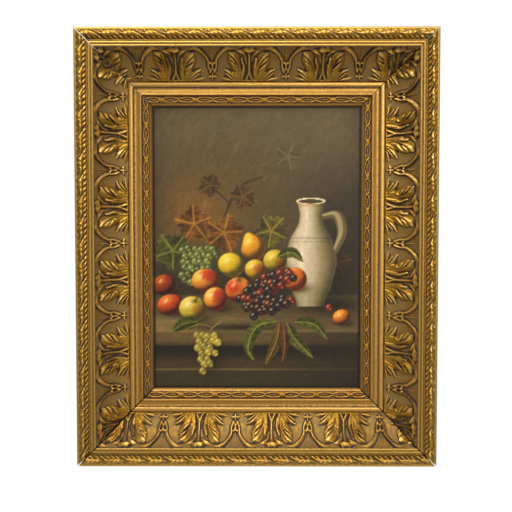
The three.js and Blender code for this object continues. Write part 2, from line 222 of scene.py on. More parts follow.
    # the gilt lip where the leaves root
    carve.ridge([(-28, 68.6), (-12, 67.6), (12, 67.6), (28, 68.6)], [0.8, 1.5, 1.5, 0.8], [1.4, 3.0, 3.0, 1.4])
    # the ribs that swing out to the outer edge and the strands of the bell flower
    middle = MOTIF_PITCH / 2
    for side in (-1, 1):
        carve.ridge([(side * 22, 30.2), (side * 29, 29.8), (side * 36, 32.0), (side * 42, 37), (side * 45.6, 44)], [0.7, 1.2, 1.5, 1.5, 1.3], [1.2, 2.6, 3.4, 3.4, 2.8])
        strand = side * middle
        inward = -side
        carve.ridge([(strand + inward * 8.2, 36), (strand + inward * 5.6, 41), (strand + inward * 5.4, 48), (strand + inward * 2.6, 55.6)], [1.0, 1.4, 1.4, 1.6], [2.4, 3.4, 3.6, 3.8])
        carve.ridge([(strand + inward * 5.2, 46), (strand + inward * 2.0, 44.6), (strand, 49), (strand + inward * 2.4, 55.2)], [0.9, 1.1, 1.1, 1.2], [2.6, 3.0, 3.0, 3.4])
        carve.ridge([(strand + inward * 1.0, 62.5), (strand + inward * 3.6, 61.4), (strand + inward * 6.2, 63.4)], [1.2, 1.3, 0.7], [2.4, 2.6, 1.6])
    carve.ridge([(middle, 57), (middle, 61), (middle, 65.6)], [0.7, 1.3, 1.0], [1.6, 3.0, 2.2])
    carve.ridge([(middle, 31.5), (middle, 36.5), (middle, 42)], [0.5, 0.9, 0.7], [0.9, 2.0, 1.2])
    # fine veins cut down the leaves and fine rays behind the bell flower
    for path in ([(-14.5, 47), (-19, 40.2), (-25, 37.2)], [(-15, 50), (-20, 45.0), (-25.5, 42.4)], [(16, 46), (20, 39.2), (26, 36.2)],
                 [(16, 49), (20, 44.4), (26, 41.2)], [(-20, 66), (-26, 59.5), (-32, 56)], [(20, 66), (26, 59.5), (32, 56)],
                 [(-22, 67), (-29, 62.5), (-35, 61)], [(22, 67), (29, 62.5), (35, 61)], [(-12, 60), (-11.4, 55), (-14, 48), (-19, 40.5)], [(-12.2, 56), (-15, 49), (-21, 44.6)], [(14.4, 56), (14.6, 49), (18, 42), (22, 38.6)], [(9.6, 62), (8.4, 53), (9.2, 45)], [(-17, 66), (-19, 60)], [(17, 66), (19, 60)], [(-9, 54), (-8.2, 47)]):
        carve.groove(path, [0.7, 0.95, 0.7], [1.4, 2.4, 1.2])
    for ray in np.linspace(-8, 8, 7):
        carve.groove([(middle + ray * 0.35, 40), (middle + ray, 30)], [0.35, 0.5], [0.0, 0.7])
    carve.height = np.clip(carve.height, -0.9, None)
    return carve


def bay_garland():
    """Seven bays of the leaf garland, no two quite alike. x runs along, y is the inset."""
    carve = Carving(LAUREL_PITCH * LAUREL_BAYS, FILLET_WIDTH, LAUREL_END)
    for bay in range(LAUREL_BAYS):
        x = bay * LAUREL_PITCH
        sway, swell = dice.uniform(-0.7, 0.7), dice.uniform(0.85, 1.1)
        # short leaves slanting out from under the long one on both its sides
        for slip in range(4):
            at = x + 1.0 + slip * LAUREL_PITCH / 4 + dice.uniform(-0.8, 0.8)
            tall = dice.uniform(2.2, 3.0)
            carve.ridge([(at, 16.8), (at + 3.2, 14.6), (at + 8.0, 12.2)], [0.9, 1.7, 0.8], [1.2, tall, 1.6])
        for slip in range(3):
            at = x + 2.0 + slip * LAUREL_PITCH / 3 + dice.uniform(-1, 1)
            tall = dice.uniform(1.8, 2.6)
            carve.ridge([(at, 8.4), (at + 3.4, 6.0), (at + 8.5, 4.2)], [0.9, 1.7, 0.8], [1.4, tall, 1.2])
        carve.ridge([(x + 0.5, 12.0 + sway), (x + 7, 9.8 + sway), (x + 15, 9.3), (x + 23, 10.2), (x + 28.5, 8.8)], [0.8, 2.6 * swell, 3.3 * swell, 2.4, 0.8], [1.8, 3.4, 3.9, 3.4, 1.6])
        # three berries set in the hollow of the leaf
        for berry in (8.5, 14.5, 20.5):
            at = x + berry + dice.uniform(-0.6, 0.6)
            carve.ridge([(at, 9.6), (at + 1.6, 10.2)], [1.5, 1.5], [0.7, 0.6], over=True)
        carve.groove([(x + 4, 10.8 + sway), (x + 15, 9.4), (x + 26, 9.6)], [0.4, 0.55, 0.4], [0.5, 0.8, 0.4])
    return carve


def rounded(inset, centre, half, rise):
    """How far a bead of a given half width stands up at an inset."""
    return rise * np.sqrt(np.clip(1 - ((inset - centre) / half) ** 2, 0, 1))


def outer_face(inset):
    """The moulding's height off the wall before any carving."""
    height = np.interp(inset, [0, 0.5, 1.4, 3.3, 3.7, 5.6, 8.4, 10.4, 12.4, 15.2, 16.9], [60.2, 61.2, 61.9, 62.2, 61.4, 63.4, 65.6, 66.2, 65.6, 63.8, 62.6])
    reeds = np.interp(inset, [16.9, 18.7, 23.4, 28.0, 28.7], [62.6, 64.3, 66.6, 69.6, 70.1])
    reeds = reeds + rounded(inset, 17.8, 0.95, 1.5) + rounded(inset, 21.1, 2.1, 1.9) + rounded(inset, 25.9, 1.9, 2.6)
    run = COVE_CENTRE - inset
    cove = COVE_CENTRE - np.sqrt(np.clip(COVE_RADIUS ** 2 - run ** 2, 0, None))
    height = np.where(inset > 16.9, np.minimum(reeds, TOP_LIMIT), height)
    return np.where(inset > COVE_START, cove, height)


def row_end(rail, inset, height, side):
    """How far from a rail's middle its face ends: on the mitre, or on the worn corner.
    The joints have opened at the face and are still tight at the side and the back."""
    length, _, start, end = RAILS[rail]
    corner = end if side > 0 else start
    opened = np.where(np.asarray(inset) > 0.3, np.clip(height / 24, 0.06, 1), 0.06)
    half = length / 2 - CRACKS[corner] * math.sqrt(2) * opened
    worn = WORN[corner]
    bite = worn - np.minimum(inset, worn)
    return np.minimum(half - inset, half - worn + np.sqrt(worn ** 2 - bite ** 2))


def on_wall(rail, along, inset, height):
    """Places in a rail's own measures, as points of the whole frame in metres."""
    across = {"bottom": (along, inset - FRAME_HEIGHT / 2), "top": (-along, FRAME_HEIGHT / 2 - inset),
              "right": (FRAME_WIDTH / 2 - inset, along), "left": (inset - FRAME_WIDTH / 2, -along)}[rail]
    return np.stack([across[0], -height, across[1] + MIDDLE_Z], -1) * MM


def mesh_object(name, points, faces, face_material=None):
    """A mesh of four-cornered and many-cornered faces, linked into the scene."""
    mesh = bpy.data.meshes.new(name)
    sizes = np.array([len(f) for f in faces])
    mesh.vertices.add(len(points))
    mesh.vertices.foreach_set("co", np.asarray(points, np.float32).ravel())
    mesh.loops.add(int(sizes.sum()))
    mesh.loops.foreach_set("vertex_index", np.concatenate([np.asarray(f) for f in faces]).astype(np.int32))
    mesh.polygons.add(len(faces))
    mesh.polygons.foreach_set("loop_start", np.concatenate([[0], np.cumsum(sizes)[:-1]]).astype(np.int32))
    if face_material is not None:
        mesh.polygons.foreach_set("material_index", np.asarray(face_material, np.int32))
    mesh.update(calc_edges=True)
    mesh.validate()
    piece = bpy.data.objects.new(name, mesh)
    bpy.context.scene.collection.objects.link(piece)
    return piece


def give_field(piece, name, values):
    """Stores one number a point on a piece, for its material to read."""
    field = piece.data.attributes.new(name, "FLOAT", "POINT")
    field.data.foreach_set("value", np.asarray(values, np.float32).ravel())


def rail_piece(name, rail, insets, heights, lift, count, smooth_rows):
    """A mitred length of moulding as a closed mesh. Its section is a closed line of
    insets and heights; lift gives how far the carving stands off each place of it."""
    ring = np.stack([insets, heights], -1)
    tangent = np.roll(ring, -1, 0) - np.roll(ring, 1, 0)
    tangent /= np.maximum(np.hypot(*tangent.T), 1e-9)[:, None]
    normal = np.stack([-tangent[:, 1], tangent[:, 0]], -1)
    share = np.linspace(0, 1, count)[None, :]
    start, end = row_end(rail, insets, heights, -1)[:, None], row_end(rail, insets, heights, 1)[:, None]
    along = -start + (start + end) * share
    rise = lift(along, np.broadcast_to(insets[:, None], along.shape))
    inset = insets[:, None] + normal[:, :1] * rise
    height = heights[:, None] + normal[:, 1:] * rise
    inset = np.clip(inset, 0, None)
    start, end = row_end(rail, inset, height, -1), row_end(rail, inset, height, 1)
    along = -start + (start + end) * share
    points = on_wall(rail, along, inset, height).reshape(-1, 3)
    rows = len(insets)
    at = np.arange(rows * count).reshape(rows, count)
    after = np.roll(at, -1, 0)
    quads = np.stack([at[:, :-1], at[:, 1:], after[:, 1:], after[:, :-1]], -1).reshape(-1, 4)
    faces = list(quads) + [at[:, 0], at[::-1, -1]]
    smooth = np.repeat(smooth_rows, count - 1)
    piece = mesh_object(name, points, faces)
    piece.data.polygons.foreach_set("use_smooth", np.concatenate([smooth, [False, False]]))
    return piece, along, inset, height, rise


COVE_CARVING = acanthus()
GARLAND = bay_garland()
FACE_STEP = 0.85


def outer_section():
    """The closed section of an outer moulding, from the wall up its outer side, over
    the face, down the inner side and back."""
    face = np.concatenate([[0, 0.3, 0.8, 1.4, 2.4, 3.3, 3.7], np.arange(4.3, 16.8, 0.72), [16.9, 17.2, 17.8, 18.4, 18.8, 19.1, 19.5, 20.2, 21.1, 22.0, 22.7, 23.2, 23.6, 24.1, 24.7, 25.4, 26.1, 26.9, 27.5, 27.8, 28.2, 28.7]])
    arc = COVE_RADIUS * (math.asin((COVE_CENTRE - COVE_START) / COVE_RADIUS) - math.asin((COVE_CENTRE - OUTER_INNER_EDGE) / COVE_RADIUS))
    steps = int(arc / FACE_STEP)
    turn = np.linspace(math.asin((COVE_CENTRE - COVE_START) / COVE_RADIUS), math.asin((COVE_CENTRE - OUTER_INNER_EDGE) / COVE_RADIUS), steps + 1)[1:]
    face = np.concatenate([face, COVE_CENTRE - COVE_RADIUS * np.sin(turn)])
    side_heights = np.array([0, 1.2, 20, 40, 59])
    inner_heights = np.array([24, 12, 0])
    insets = np.concatenate([np.zeros(5), face, np.full(3, OUTER_INNER_EDGE), [45, 22]])
    heights = np.concatenate([side_heights, outer_face(face), inner_heights, [0, 0]])
    return insets, heights, len(side_heights), len(face)


def outer_lift(rail):
    stem = RAILS[rail][1]

    def lift(along, inset):
        cove = COVE_CARVING.sample(COVE_CARVING.height, along - stem, inset)
        cove = np.where(inset > COVE_START + 0.1, cove, 0) * np.clip((OUTER_INNER_EDGE + 0.01 - inset) / 1.2, 0, 1)
        bays = GARLAND.sample(GARLAND.height, along - stem, inset)
        bays = np.where((inset > FILLET_WIDTH) & (inset < LAUREL_END), bays, 0)
        return cove + bays

    return lift


# ---- Outer mouldings: finish -------------------------------------------------------
def to_linear(value):
    """sRGB values as the linear light that Blender works in."""
    value = np.asarray(value, float)
    return np.where(value <= 0.04045, value / 12.92, ((value + 0.055) / 1.055) ** 2.4)


def tint(hex_colour):
    """An sRGB hex colour as three numbers from 0 to 1."""
    return np.array([int(hex_colour[k : k + 2], 16) / 255 for k in (1, 3, 5)])


def linear(hex_colour):
    """An sRGB hex colour as the four linear numbers that a socket takes."""
    return (*to_linear(tint(hex_colour)), 1.0)


def add(tree, kind, inputs=None, **settings):
    """Adds a node with its settings; each input is a number, a colour or a socket."""
    node = tree.nodes.new(kind)
    for field, value in settings.items():
        setattr(node, field, value)
    for socket, value in (inputs or {}).items():
        if isinstance(value, bpy.types.NodeSocket):
            tree.links.new(value, node.inputs[socket])
        else:
            node.inputs[socket].default_value = value
    return node


def new_material(name):
    """An empty node material and its tree."""
    material = bpy.data.materials.new(name)
    material.use_nodes = True
    material.node_tree.nodes.clear()
    return material, material.node_tree


def surface(tree, inputs, **settings):
    """The shader of a solid surface, wired to the material's output."""
    shader = add(tree, "ShaderNodeBsdfPrincipled", inputs, **settings)
    add(tree, "ShaderNodeOutputMaterial", {"Surface": shader.outputs["BSDF"]})
    return shader


def gilt_compo(name, wash, leaf_low, leaf_high):
    """Cast composition gilded over red clay, toned with a grey-brown wash that stays in the hollows, with a painted
    shade of dark umber in the deepest hollows and quirks and a lighter gold on the crests as a painted highlight: matt
    below, a soft glint above."""
    material, tree = new_material(name)
    place = add(tree, "ShaderNodeTexCoord").outputs["Object"]
    gilding = add(tree, "ShaderNodeAttribute", attribute_name="gilding").outputs["Fac"]
    painted_highlight = add(tree, "ShaderNodeAttribute", attribute_name="painted_highlight").outputs["Fac"]
    # patchy wear of the leaf, about 6 mm, and brush marks of the wash, about 1.5 mm
    patches = add(tree, "ShaderNodeTexNoise", {"Vector": place, "Scale": 170.0, "Detail": 4.0, "Roughness": 0.6})
    marks = add(tree, "ShaderNodeTexNoise", {"Vector": place, "Scale": 700.0, "Detail": 3.0, "Roughness": 0.7})
    worn = add(tree, "ShaderNodeMath", {0: patches.outputs["Fac"], 1: 0.9, 2: -0.45}, operation="MULTIPLY_ADD")
    fine = add(tree, "ShaderNodeMath", {0: marks.outputs["Fac"], 1: 0.7, 2: -0.35}, operation="MULTIPLY_ADD")
    both = add(tree, "ShaderNodeMath", {0: worn.outputs[0], 1: fine.outputs[0]}, operation="ADD")
    # strokes of the dry brush across the moulding, a little over 1 mm apart
    lie = add(tree, "ShaderNodeAttribute", attribute_name="grain").outputs["Vector"]
    drawn = add(tree, "ShaderNodeMapping", {"Vector": lie, "Scale": (22.0, 0.12, 0.12)})
    strokes = add(tree, "ShaderNodeTexNoise", {"Vector": drawn.outputs["Vector"], "Scale": 0.9, "Detail": 2.0})
    uneven = add(tree, "ShaderNodeMath", {0: strokes.outputs["Fac"], 1: 0.9, 2: -0.45}, operation="MULTIPLY_ADD")
    uneven = add(tree, "ShaderNodeMath", {0: uneven.outputs[0], 1: both.outputs[0]}, operation="ADD")
    cover = add(tree, "ShaderNodeMath", {0: gilding, 1: uneven.outputs[0]}, operation="ADD")
    gold = add(tree, "ShaderNodeMapRange", {"Value": cover.outputs[0], "From Min": 0.25, "From Max": 0.62})
    # painted highlight: the crests take the lighter gold of leaf_high
    crest = add(tree, "ShaderNodeMath", {0: painted_highlight, 1: fine.outputs[0]}, operation="ADD")
    bright = add(tree, "ShaderNodeMapRange", {"Value": crest.outputs[0], "From Min": 0.3, "From Max": 0.9})
    leafed = add(tree, "ShaderNodeMix", {"Factor": bright.outputs[0], "A": linear(leaf_low), "B": linear(leaf_high)}, data_type="RGBA")
    # painted shade: the wash darkens to a dark umber in the deepest hollows and quirks
    painted_hollow_shade = add(tree, "ShaderNodeAttribute", attribute_name="painted_hollow_shade").outputs["Fac"]
    wash_and_hollow_shade = add(tree, "ShaderNodeMix", {"Factor": painted_hollow_shade, "A": linear(wash), "B": linear("#3b2b1c")}, data_type="RGBA")
    gilt_colour_with_painted_light = add(tree, "ShaderNodeMix", {"Factor": gold.outputs[0], "A": wash_and_hollow_shade.outputs["Result"], "B": leafed.outputs["Result"]}, data_type="RGBA")
    metal = add(tree, "ShaderNodeMapRange", {"Value": gold.outputs[0], "To Min": 0.15, "To Max": 0.9})
    sheen = add(tree, "ShaderNodeMapRange", {"Value": cover.outputs[0], "From Min": 0.1, "From Max": 1.1, "To Min": 0.72, "To Max": 0.34})
    relief = add(tree, "ShaderNodeMath", {0: patches.outputs["Fac"], 1: marks.outputs["Fac"]}, operation="ADD")
    bump = add(tree, "ShaderNodeBump", {"Height": relief.outputs[0], "Strength": 0.35, "Distance": 0.0006})
    surface(tree, {"Base Color": gilt_colour_with_painted_light.outputs["Result"], "Metallic": metal.outputs[0], "Roughness": sheen.outputs[0], "Normal": bump.outputs["Normal"]})
    return material


def bronzed_side():
    """The outer sides: gesso brushed with dull bronze paint, scuffed along its run."""
    material, tree = new_material("bronze_painted_gesso")
    place = add(tree, "ShaderNodeTexCoord").outputs["Object"]
    # scuffs about 12 mm across, and brush marks about 2 mm
    scuffs = add(tree, "ShaderNodeTexNoise", {"Vector": place, "Scale": 80.0, "Detail": 6.0, "Roughness": 0.65})
    marks = add(tree, "ShaderNodeTexNoise", {"Vector": place, "Scale": 500.0, "Detail": 2.0})
    colour = add(tree, "ShaderNodeValToRGB", {"Fac": scuffs.outputs["Fac"]})
    colour.color_ramp.elements[0].position, colour.color_ramp.elements[0].color = 0.32, linear("#5c4319")
    colour.color_ramp.elements[1].position, colour.color_ramp.elements[1].color = 0.68, linear("#8a6523")
    bump = add(tree, "ShaderNodeBump", {"Height": marks.outputs["Fac"], "Strength": 0.3, "Distance": 0.0005})
    surface(tree, {"Base Color": colour.outputs["Color"], "Metallic": 0.35, "Roughness": 0.55, "Normal": bump.outputs["Normal"]})
    return material


def planed_pine(name, pale, dark, shine=0.4, run=None):
    """Bare planed pine: straight yellow-brown grain about 3 mm apart with age and dust
    in it, and a matt face. It follows the piece's stored grain, or the way it runs."""
    material, tree = new_material(name)
    if run is None:
        lie = add(tree, "ShaderNodeAttribute", attribute_name="grain").outputs["Vector"]
    else:
        place = add(tree, "ShaderNodeSeparateXYZ", {"Vector": add(tree, "ShaderNodeTexCoord").outputs["Object"]}).outputs
        turned = add(tree, "ShaderNodeCombineXYZ", {"X": place[run], "Y": place["Z" if run == "X" else "X"], "Z": place["Y"]})
        lie = add(tree, "ShaderNodeMapping", {"Vector": turned.outputs["Vector"], "Scale": (40, 1000, 1000)}).outputs["Vector"]
    rings = add(tree, "ShaderNodeTexWave", {"Vector": lie, "Scale": 0.12, "Distortion": 5.0, "Detail": 3.0, "Detail Scale": 0.6}, bands_direction="Y")
    fibre = add(tree, "ShaderNodeTexNoise", {"Vector": lie, "Scale": 0.6, "Detail": 5.0, "Roughness": 0.7})
    both = add(tree, "ShaderNodeMath", {0: rings.outputs["Fac"], 1: 0.45, 2: fibre.outputs["Fac"]}, operation="MULTIPLY_ADD")
    colour = add(tree, "ShaderNodeValToRGB", {"Fac": both.outputs[0]})
    colour.color_ramp.elements[0].position, colour.color_ramp.elements[0].color = 0.35, linear(pale)
    colour.color_ramp.elements[1].position, colour.color_ramp.elements[1].color = 0.95, linear(dark)
    bump = add(tree, "ShaderNodeBump", {"Height": both.outputs[0], "Strength": 0.25, "Distance": 0.0004})
    surface(tree, {"Base Color": colour.outputs["Color"], "Roughness": 0.72, "Specular IOR Level": shine, "Normal": bump.outputs["Normal"]})
    return material


def give_grain(piece, along, across, up):
    """Stores where each point lies in the wood, in millimetres: its grain runs long
    and thin, so the first number is shrunk."""
    field = piece.data.attributes.new("grain", "FLOAT_VECTOR", "POINT")
    values = np.stack([along * 0.04, across, up], -1)
    field.data.foreach_set("vector", values.astype(np.float32).ravel())


# The last colour of each gilt is the painted highlight on its crests.
CARVED_GILT = gilt_compo("gilded_compo", "#86714c", "#ad8430", "#edc672")
SIDE_PAINT = bronzed_side()
BACK_PINE = planed_pine("stained_pine", "#a98355", "#6e4d2b")
OPEN_MITRE = planed_pine("dark_mitre_wood", "#1d130b", "#0d0805", shine=0.0)


def wash_and_quirk_shade(inset):
    """How much leaf the wash leaves on the plain members, least in their quirks, where the low values also give a
    painted shade.
    """
    return np.interp(inset, [0, 0.6, 3.2, 3.9, 5.5, 12, 16.6, 17.6, 18.2, 18.9, 19.6, 22.6, 23.5, 24.3, 27.3, 28.3, 28.8],
                     [0.55, 0.9, 0.75, 0.3, 0.2, 0.2, 0.1, 0.8, 0.8, 0.0, 0.85, 0.85, 0.05, 0.85, 0.85, 0.0, 0.1])


def gild(piece, carving_fields, along, inset, plain):
    """Marks how much leaf each point keeps: all of the plain members but their quirks, and the proud part of the
    carving. It also marks a painted highlight, brightest on the crests, and a painted shade in the hollows and quirks."""
    proud, crest, carved = carving_fields(along, inset)
    ground = np.where(inset < COVE_START, 0.6, 0.42) - 0.55 * ease(-crest, 0.15, 0.9)
    gilding = np.where(carved, ground + 0.5 * ease(proud, 0.2, 2.0), plain(inset))
    # painted highlight: a lighter gold on the crests and on the well-leafed plain members
    painted_highlight = np.where(carved, ease(crest, 0.1, 1.2), 0.7 * plain(inset))
    # painted shade: dark umber in the hollows of the carving and in the quirks of the plain members
    painted_hollow_shade = np.where(carved, ease(-crest, 0.1, 0.6), 0.8 - 0.8 * plain(inset))
    give_field(piece, "gilding", gilding)
    give_field(piece, "painted_highlight", painted_highlight)
    give_field(piece, "painted_hollow_shade", painted_hollow_shade)


def ease(value, start, end):
    """Goes smoothly from 0 at start to 1 at end."""
    t = np.clip((value - start) / (end - start), 0, 1)
    return t * t * (3 - 2 * t)


COVE_CREST = COVE_CARVING.height - COVE_CARVING.softened(1.5)
GARLAND_CREST = GARLAND.height - GARLAND.softened(1.2)


def outer_carving(rail):
    stem = RAILS[rail][1]

    def fields(along, inset):
        in_cove = inset > COVE_START
        proud = np.where(in_cove, COVE_CARVING.sample(COVE_CARVING.height, along - stem, inset), GARLAND.sample(GARLAND.height, along - stem, inset) - 0.3)
        crest = np.where(in_cove, COVE_CARVING.sample(COVE_CREST, along - stem, inset), GARLAND.sample(GARLAND_CREST, along - stem, inset))
        return proud, crest, in_cove | ((inset > FILLET_WIDTH + 0.4) & (inset < LAUREL_END))

    return fields


insets, heights, side_rows, face_rows = outer_section()
on_face = np.zeros(len(insets), bool)
on_face[side_rows - 1 : side_rows + face_rows] = True
mouldings = {}
for rail, (length, stem, _, _) in RAILS.items():
    def limited(along, inset, rail=rail):
        rise = outer_lift(rail)(along, inset)
        rise[~on_face] = 0
        return rise
    piece, along, inset, height, rise = rail_piece(f"{rail}_carved_moulding", rail, insets, heights, limited, int(length / 0.93), on_face)
    mouldings[rail] = piece
    grid_insets = np.broadcast_to(insets[:, None], along.shape)
    gild(piece, outer_carving(rail), along, grid_insets, wash_and_quirk_shade)
    give_grain(piece, along, inset, height)
    rows_kind = np.where(on_face, 0, 2)
    rows_kind[: side_rows - 1] = 1
    kinds = np.concatenate([np.repeat(rows_kind, along.shape[1] - 1), [3, 3]])
    for material in (CARVED_GILT, SIDE_PAINT, BACK_PINE, OPEN_MITRE):
        piece.data.materials.append(material)
    piece.data.polygons.foreach_set("material_index", kinds.astype(np.int32))
    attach(piece, "root")
    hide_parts(f"{rail}_moulding")

# ---- Inner frames: shape ---------------------------------------------------------
# Four lengths of a narrower moulding that sit inside the cove, on the canvas: a flat
# bead, a scoop, a twisted ribbon and a bright sloping lip at the picture.
RAIL_WIDTH = 101.5
LINER_START = 69.0
LINER_BACK = 3
REBATE_INSET = 94.1
REBATE_HEIGHT = 20.3
RIBBON_PITCH = 47.6
RIBBON_START, RIBBON_END = 89.0, 97.4
RIBBON_AT = {"left": 20, "right": 4, "bottom": 36, "top": 37}


def ribbon():
    """A twisted ribbon: two strands part round an oval eye and cross, once broadly in
    pleats and once in a single narrow twist."""
    carve = Carving(RIBBON_PITCH, RIBBON_START, RIBBON_END, 0.2)
    centre = (RIBBON_START + RIBBON_END) / 2
    half = RIBBON_PITCH / 2
    for cross, wide in ((0, 5.0), (half, 2.6)):
        eye = cross + half / 2
        reach = half / 2 - wide / 2 - 0.6
        for side in (-1, 1):
            carve.ridge([(eye - reach - 1.5, centre + side * 1.2), (eye - reach * 0.55, centre + side * 3.0), (eye, centre + side * 3.4), (eye + reach * 0.55, centre + side * 3.0), (eye + reach + 1.5, centre + side * 1.2)], [1.1, 1.35, 1.2, 1.35, 1.1], [1.9, 2.3, 1.9, 2.3, 1.9])
        carve.ridge([(eye - 4.5, centre), (eye, centre), (eye + 4.5, centre)], [0.5, 1.1, 0.5], [0.5, 1.3, 0.5])
    for pleat in (-2.9, 0, 2.9):
        carve.ridge([(pleat - 2.8, centre + 3.4), (pleat - 0.8, centre + 0.8), (pleat + 0.8, centre - 0.8), (pleat + 2.8, centre - 3.4)], [0.8, 1.5, 1.5, 0.8], [1.4, 2.6, 2.6, 1.4])
    carve.ridge([(half - 5.5, centre + 3.2), (half - 1.6, centre + 1.6), (half + 1.6, centre - 1.6), (half + 5.5, centre - 3.2)], [0.9, 1.5, 1.5, 0.9], [1.8, 2.6, 2.6, 1.8])
    return carve


RIBBON_CARVING = ribbon()


def liner_face(inset):
    height = np.interp(inset, [69, 69.5, 70.2, 71.4, 74, 75.2, 75.9, 76.3, 77.2, 78.4, 80, 82.4, 84.5, 86.2, 87.1, 87.4, 87.8, 89.0, 97.4, 98.0, 98.6, 99.8, 100.8, 101.3, 101.5],
                       [30.4, 31.8, 32.6, 33.0, 33.0, 32.5, 31.4, 30.6, 30.1, 29.6, 29.5, 30.4, 31.6, 32.4, 32.3, 30.6, 28.7, 28.3, 28.1, 27.6, 27.2, 25.8, 24.2, 22.6, 20.7])
    return height


def liner_section():
    face = np.concatenate([[69, 69.25, 69.7, 70.2, 70.9, 71.8, 72.7, 73.6, 74.5, 75.2, 75.6, 75.9, 76.3, 77.2, 78.2, 79.2, 80.3, 81.4, 82.5, 83.6, 84.6, 85.5, 86.3, 86.9, 87.2, 87.5, 87.9, 88.5], np.arange(89.1, 97.3, 0.55), [97.4, 97.9, 98.4, 98.8, 99.4, 100.0, 100.5, 100.9, 101.2, 101.4, 101.5]])
    insets = np.concatenate([[69, 69], face, [101.5, 97.8, 94.1, 94.1, 94.1, 81.5]])
    heights = np.concatenate([[3, 17], liner_face(face), [20.3, 20.3, 20.3, 12, 3, 3]])
    return insets, heights, 2, len(face)


# The last colour is the painted highlight on the crests.
BURNISHED_GILT = gilt_compo("burnished_gilt", "#776752", "#b58430", "#ecc272")
RIBBON_CREST = RIBBON_CARVING.height - RIBBON_CARVING.softened(1.0)


# How much leaf the wash leaves on the inner frame's members; where it is low, in the scoop and grooves, the same values
# give a painted shade.
def liner_wash_and_shade(inset):
    return np.interp(inset, [69, 70, 75.2, 76.2, 77.4, 79, 86.6, 87.3, 88, 89, 97.4, 98.2, 98.9, 101.2, 101.5],
                     [0.4, 0.9, 0.9, 0.1, 0.45, 0.75, 0.9, 0.7, 0.0, 0.0, 0.1, 0.3, 0.9, 0.9, 0.5])


def ribbon_carving(rail):
    def fields(along, inset):
        proud = RIBBON_CARVING.sample(RIBBON_CARVING.height, along - RIBBON_AT[rail], inset)
        crest = RIBBON_CARVING.sample(RIBBON_CREST, along - RIBBON_AT[rail], inset)
        return proud, crest, (inset > RIBBON_START) & (inset < RIBBON_END)

    return fields


insets, heights, side_rows, face_rows = liner_section()
on_liner = np.zeros(len(insets), bool)
on_liner[side_rows - 1 : side_rows + face_rows - 1] = True
liners = {}
for rail, (length, stem, _, _) in RAILS.items():
    def twisted(along, inset, rail=rail):
        rise = RIBBON_CARVING.sample(RIBBON_CARVING.height, along - RIBBON_AT[rail], inset)
        rise = np.where((inset > RIBBON_START) & (inset < RIBBON_END), rise, 0)
        rise[~on_liner] = 0
        return rise
    piece, along, inset, height, rise = rail_piece(f"{rail}_ribbon_frame", rail, insets, heights, twisted, int((length - 2 * LINER_START) / 1.0), on_liner)
    liners[rail] = piece
    gild(piece, ribbon_carving(rail), along, np.broadcast_to(insets[:, None], along.shape), liner_wash_and_shade)
    give_grain(piece, along, inset, height)
    rows_kind = np.where(on_liner, 0, 1)
    kinds = np.concatenate([np.repeat(rows_kind, along.shape[1] - 1), [2, 2]])
    for material in (BURNISHED_GILT, BACK_PINE, OPEN_MITRE):
        piece.data.materials.append(material)
    piece.data.polygons.foreach_set("material_index", kinds.astype(np.int32))
    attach(piece, "root")
    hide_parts(f"{rail}_inner_frame")

# ---- Picture ----------------------------------------------------------------------
# Primed linen, tacked round a stretcher and painted in oils: fruit and a plain jug on
# a stone ledge against a dark wall, under a soft varnish. It is worked from the back
# of the picture forward in flat washes, then in dabs, as a painter would.
CANVAS_WIDTH, CANVAS_HEIGHT = 304.8, 406.4
CANVAS_FACE = 20
CANVAS_BACK = 2.5
CLOTH = 0.8
PAINT_STEP = 1.2
columns = int(CANVAS_WIDTH / PAINT_STEP) + 1
courses = int(CANVAS_HEIGHT / PAINT_STEP) + 1
across = np.linspace(-CANVAS_WIDTH / 2, CANVAS_WIDTH / 2, columns)
upward = np.linspace(-CANVAS_HEIGHT / 2, CANVAS_HEIGHT / 2, courses)
PX, PZ = np.meshgrid(across, upward)
paint = np.zeros(PX.shape + (3,))


def mottle(wide, tall):
    """Soft random patches of about that size in millimetres, from -1 to 1."""
    cells = dice.uniform(-1, 1, (int(CANVAS_HEIGHT / tall) + 3, int(CANVAS_WIDTH / wide) + 3))
    fx, fz = (PX + CANVAS_WIDTH / 2) / wide, (PZ + CANVAS_HEIGHT / 2) / tall
    ix, iz = fx.astype(int), fz.astype(int)
    tx, tz = fx - ix, fz - iz
    tx, tz = tx * tx * (3 - 2 * tx), tz * tz * (3 - 2 * tz)
    low = cells[iz, ix] * (1 - tx) + cells[iz, ix + 1] * tx
    high = cells[iz + 1, ix] * (1 - tx) + cells[iz + 1, ix + 1] * tx
    return low * (1 - tz) + high * tz


def near(x, z, reach):
    """The part of the canvas within reach of a place, and offsets from that place."""
    cols = slice(*np.searchsorted(across, [x - reach, x + reach]))
    rows = slice(*np.searchsorted(upward, [z - reach, z + reach]))
    part = (rows, cols)
    return part, PX[part] - x, PZ[part] - z


def lay(part, colour, cover):
    """Lays colour over part of the canvas, as thick as cover says."""
    cover = np.clip(cover, 0, 1)[..., None]
    paint[part] = paint[part] * (1 - cover) + colour * cover


def dab(x, z, length, width, angle, colour, cover):
    """One touch of the brush."""
    part, u, v = near(x, z, length)
    c, s = math.cos(angle), math.sin(angle)
    far = ((u * c + v * s) / length * 2) ** 2 + ((v * c - u * s) / width * 2) ** 2
    lay(part, colour, cover * ease(far, 1.3, 0.3))


def shadow(x, z, wide, tall, depth):
    part, u, v = near(x, z, max(wide, tall) * 1.6)
    lay(part, tint("#17130f"), depth * np.exp(-((u / wide) ** 2 + (v / tall) ** 2) * 1.6))


def line(path, width, colour, cover=1.0):
    """A thin painted line that swells and dies away."""
    points = smooth_line(path, 0.9)
    for k, (x, z) in enumerate(points):
        swell = 0.6 + 0.4 * math.sin(math.pi * k / len(points))
        dab(x, z, width * 2.2 * swell, width * 1.6 * swell, 0.6, colour, cover)


